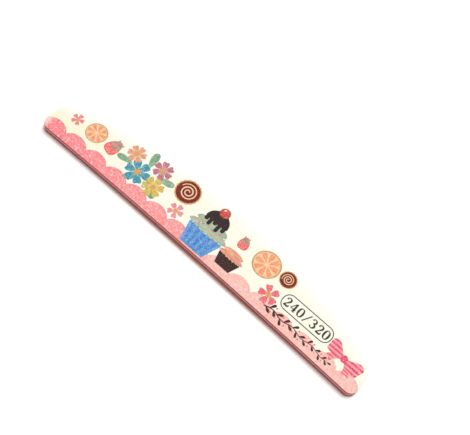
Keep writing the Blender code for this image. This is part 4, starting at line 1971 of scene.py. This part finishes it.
class NAILFILE_OT_studio(bpy.types.Operator):
    """Make the floor, the lamp, the sky and the camera"""

    bl_idname = "nailfile.studio"
    bl_label = "Studio"

    def execute(self, context):
        settings = context.scene.nail_file_studio
        self.make_floor(settings)
        self.make_sky(context.scene, settings)
        self.make_key_light(settings)
        self.make_camera(context.scene, settings)
        context.scene.view_settings.view_transform = "Standard"
        return {"FINISHED"}

    def make_floor(self, settings):
        """A wide pale floor that looks white to the camera, keeps the file's shadow, and has a contact
        shadow painted beside the file.
        """
        half, level = settings.floor_size / 2, -settings.floor_drop
        corners = [(-half, -half, level), (half, -half, level), (half, half, level), (-half, half, level)]
        floor = in_scene("floor", new_mesh("floor", corners, [(0, 1, 2, 3)]))
        material = bpy.data.materials.new("floor")
        material.use_nodes = True
        tree = material.node_tree
        tree.nodes.clear()
        place = add_node(tree, "ShaderNodeTexCoord").outputs["Object"]
        bright = tuple(value * gain for value, gain in zip(settings.floor, settings.floor_white))
        painted_shadow_colour = tuple(value * share for value, share in zip(bright, settings.contact))
        from_middle = maths(tree, "ABSOLUTE", axes(tree, place)[0])
        fade = between(
            tree, from_middle, settings.contact_fade * FADE_START_SHARE, settings.contact_fade,
            1.0, FADE_END_SHARE)
        reach = maths(tree, "MULTIPLY", fade, settings.contact_reach)
        # Painted shadow: the floor darkens and warms where the file stands close, less towards its ends
        open_share = add_node(
            tree, "ShaderNodeAmbientOcclusion", {"Distance": reach}, samples=CONTACT_SAMPLES).outputs["AO"]
        painted_shadow_share = between(tree, open_share, *OPEN_RANGE, 1.0, 0.0, smooth=False)
        near = maths(tree, "MULTIPLY", painted_shadow_share, fade)
        show_to_camera(
            tree, "ShaderNodeBsdfDiffuse", "ShaderNodeOutputMaterial",
            {"Color": settings.floor}, {"Color": mixed(tree, near, bright, painted_shadow_colour)})
        floor.data.materials.append(material)

    def make_sky(self, scene, settings):
        """Even light from all sides, and a white background."""
        world = bpy.data.worlds.new("studio_sky")
        world.use_nodes = True
        world.node_tree.nodes.clear()
        show_to_camera(
            world.node_tree, "ShaderNodeBackground", "ShaderNodeOutputWorld",
            {"Color": WHITE, "Strength": settings.sky}, {"Color": WHITE, "Strength": 1.0})
        scene.world = world

    def make_key_light(self, settings):
        """A broad soft light from the bowed edge's side. Its strength gives the wanted level."""
        height, swing = settings.key_height, settings.key_swing
        towards = Vector((
            math.cos(height) * math.sin(swing), math.cos(height) * math.cos(swing), math.sin(height)))
        light = bpy.data.lights.new("key_light", "SUN")
        light.angle = settings.key_softness
        light.energy = settings.key * math.pi / towards.z
        key = in_scene("key_light", light)
        key.rotation_euler = towards.to_track_quat("Z", "Y").to_euler()

    def make_camera(self, scene, settings):
        """A camera that looks at its target from above, rolled about its own axis."""
        tilt, swing, roll = settings.tilt, settings.swing, settings.roll
        away = Vector((
            math.sin(tilt) * math.sin(swing), -math.sin(tilt) * math.cos(swing), math.cos(tilt)))
        right = Vector((0, 1, 0)).cross(away).normalized()
        up = away.cross(right)
        image_right = right * math.cos(roll) + up * math.sin(roll)
        image_up = up * math.cos(roll) - right * math.sin(roll)
        data = bpy.data.cameras.new("camera")
        data.lens = settings.lens
        data.sensor_width = settings.sensor
        camera = in_scene("camera", data)
        turn = Matrix((image_right, image_up, away)).transposed().to_4x4()
        target = Vector((settings.target_x, settings.target_y, 0))
        camera.matrix_world = Matrix.Translation(target + away * settings.distance) @ turn
        scene.camera = camera


# Add-on

OPERATORS = (
    NAILFILE_OT_studio,
    NAILFILE_OT_grey_sheet,
    NAILFILE_OT_foam_pads,
    NAILFILE_OT_core_board,
    NAILFILE_OT_adhesive_films,
    NAILFILE_OT_printed_sheet,
    NAILFILE_OT_coarse_grains,
    NAILFILE_OT_scalloped_border,
    NAILFILE_OT_blossoms,
    NAILFILE_OT_citrus_slices,
    NAILFILE_OT_biscuits,
    NAILFILE_OT_cupcakes,
    NAILFILE_OT_strawberries,
    NAILFILE_OT_grades,
    NAILFILE_OT_leafy_sprig,
    NAILFILE_OT_ribbon_bow,
)


class NAILFILE_PT_panel(bpy.types.Panel):
    """Lists the nail file's pieces"""

    bl_idname = "NAILFILE_PT_panel"
    bl_label = "Nail File"
    bl_space_type = "VIEW_3D"
    bl_region_type = "UI"
    bl_category = "Nail File"

    def draw(self, context):
        for operator in OPERATORS:
            self.layout.operator(operator.bl_idname)


SETTINGS = {
    "nail_file_die": DieSizes,
    "nail_file_layers": LayerFinish,
    "nail_file_print": PrintSizes,
    "nail_file_inks": InkColours,
    "nail_file_studio": StudioSettings,
}
CLASSES = (*SETTINGS.values(), *OPERATORS, NAILFILE_PT_panel)


def register():
    """Make the settings, the operators and the panel known to Blender."""
    for each in CLASSES:
        bpy.utils.register_class(each)
    for name, group in SETTINGS.items():
        setattr(bpy.types.Scene, name, bpy.props.PointerProperty(type=group))


def unregister():
    """Take them away again."""
    for name in SETTINGS:
        delattr(bpy.types.Scene, name)
    for each in reversed(CLASSES):
        bpy.utils.unregister_class(each)


def clear_scene():
    """Remove what a new scene holds, apart from the frame."""
    for name in ("Cube", "Light", "Camera"):
        found = bpy.data.objects.get(name)
        if found:
            bpy.data.objects.remove(found)


def main():
    register()
    clear_scene()
    for operator in OPERATORS:
        group, name = operator.bl_idname.split(".")
        getattr(getattr(bpy.ops, group), name)()


if __name__ == "__main__":
    main()
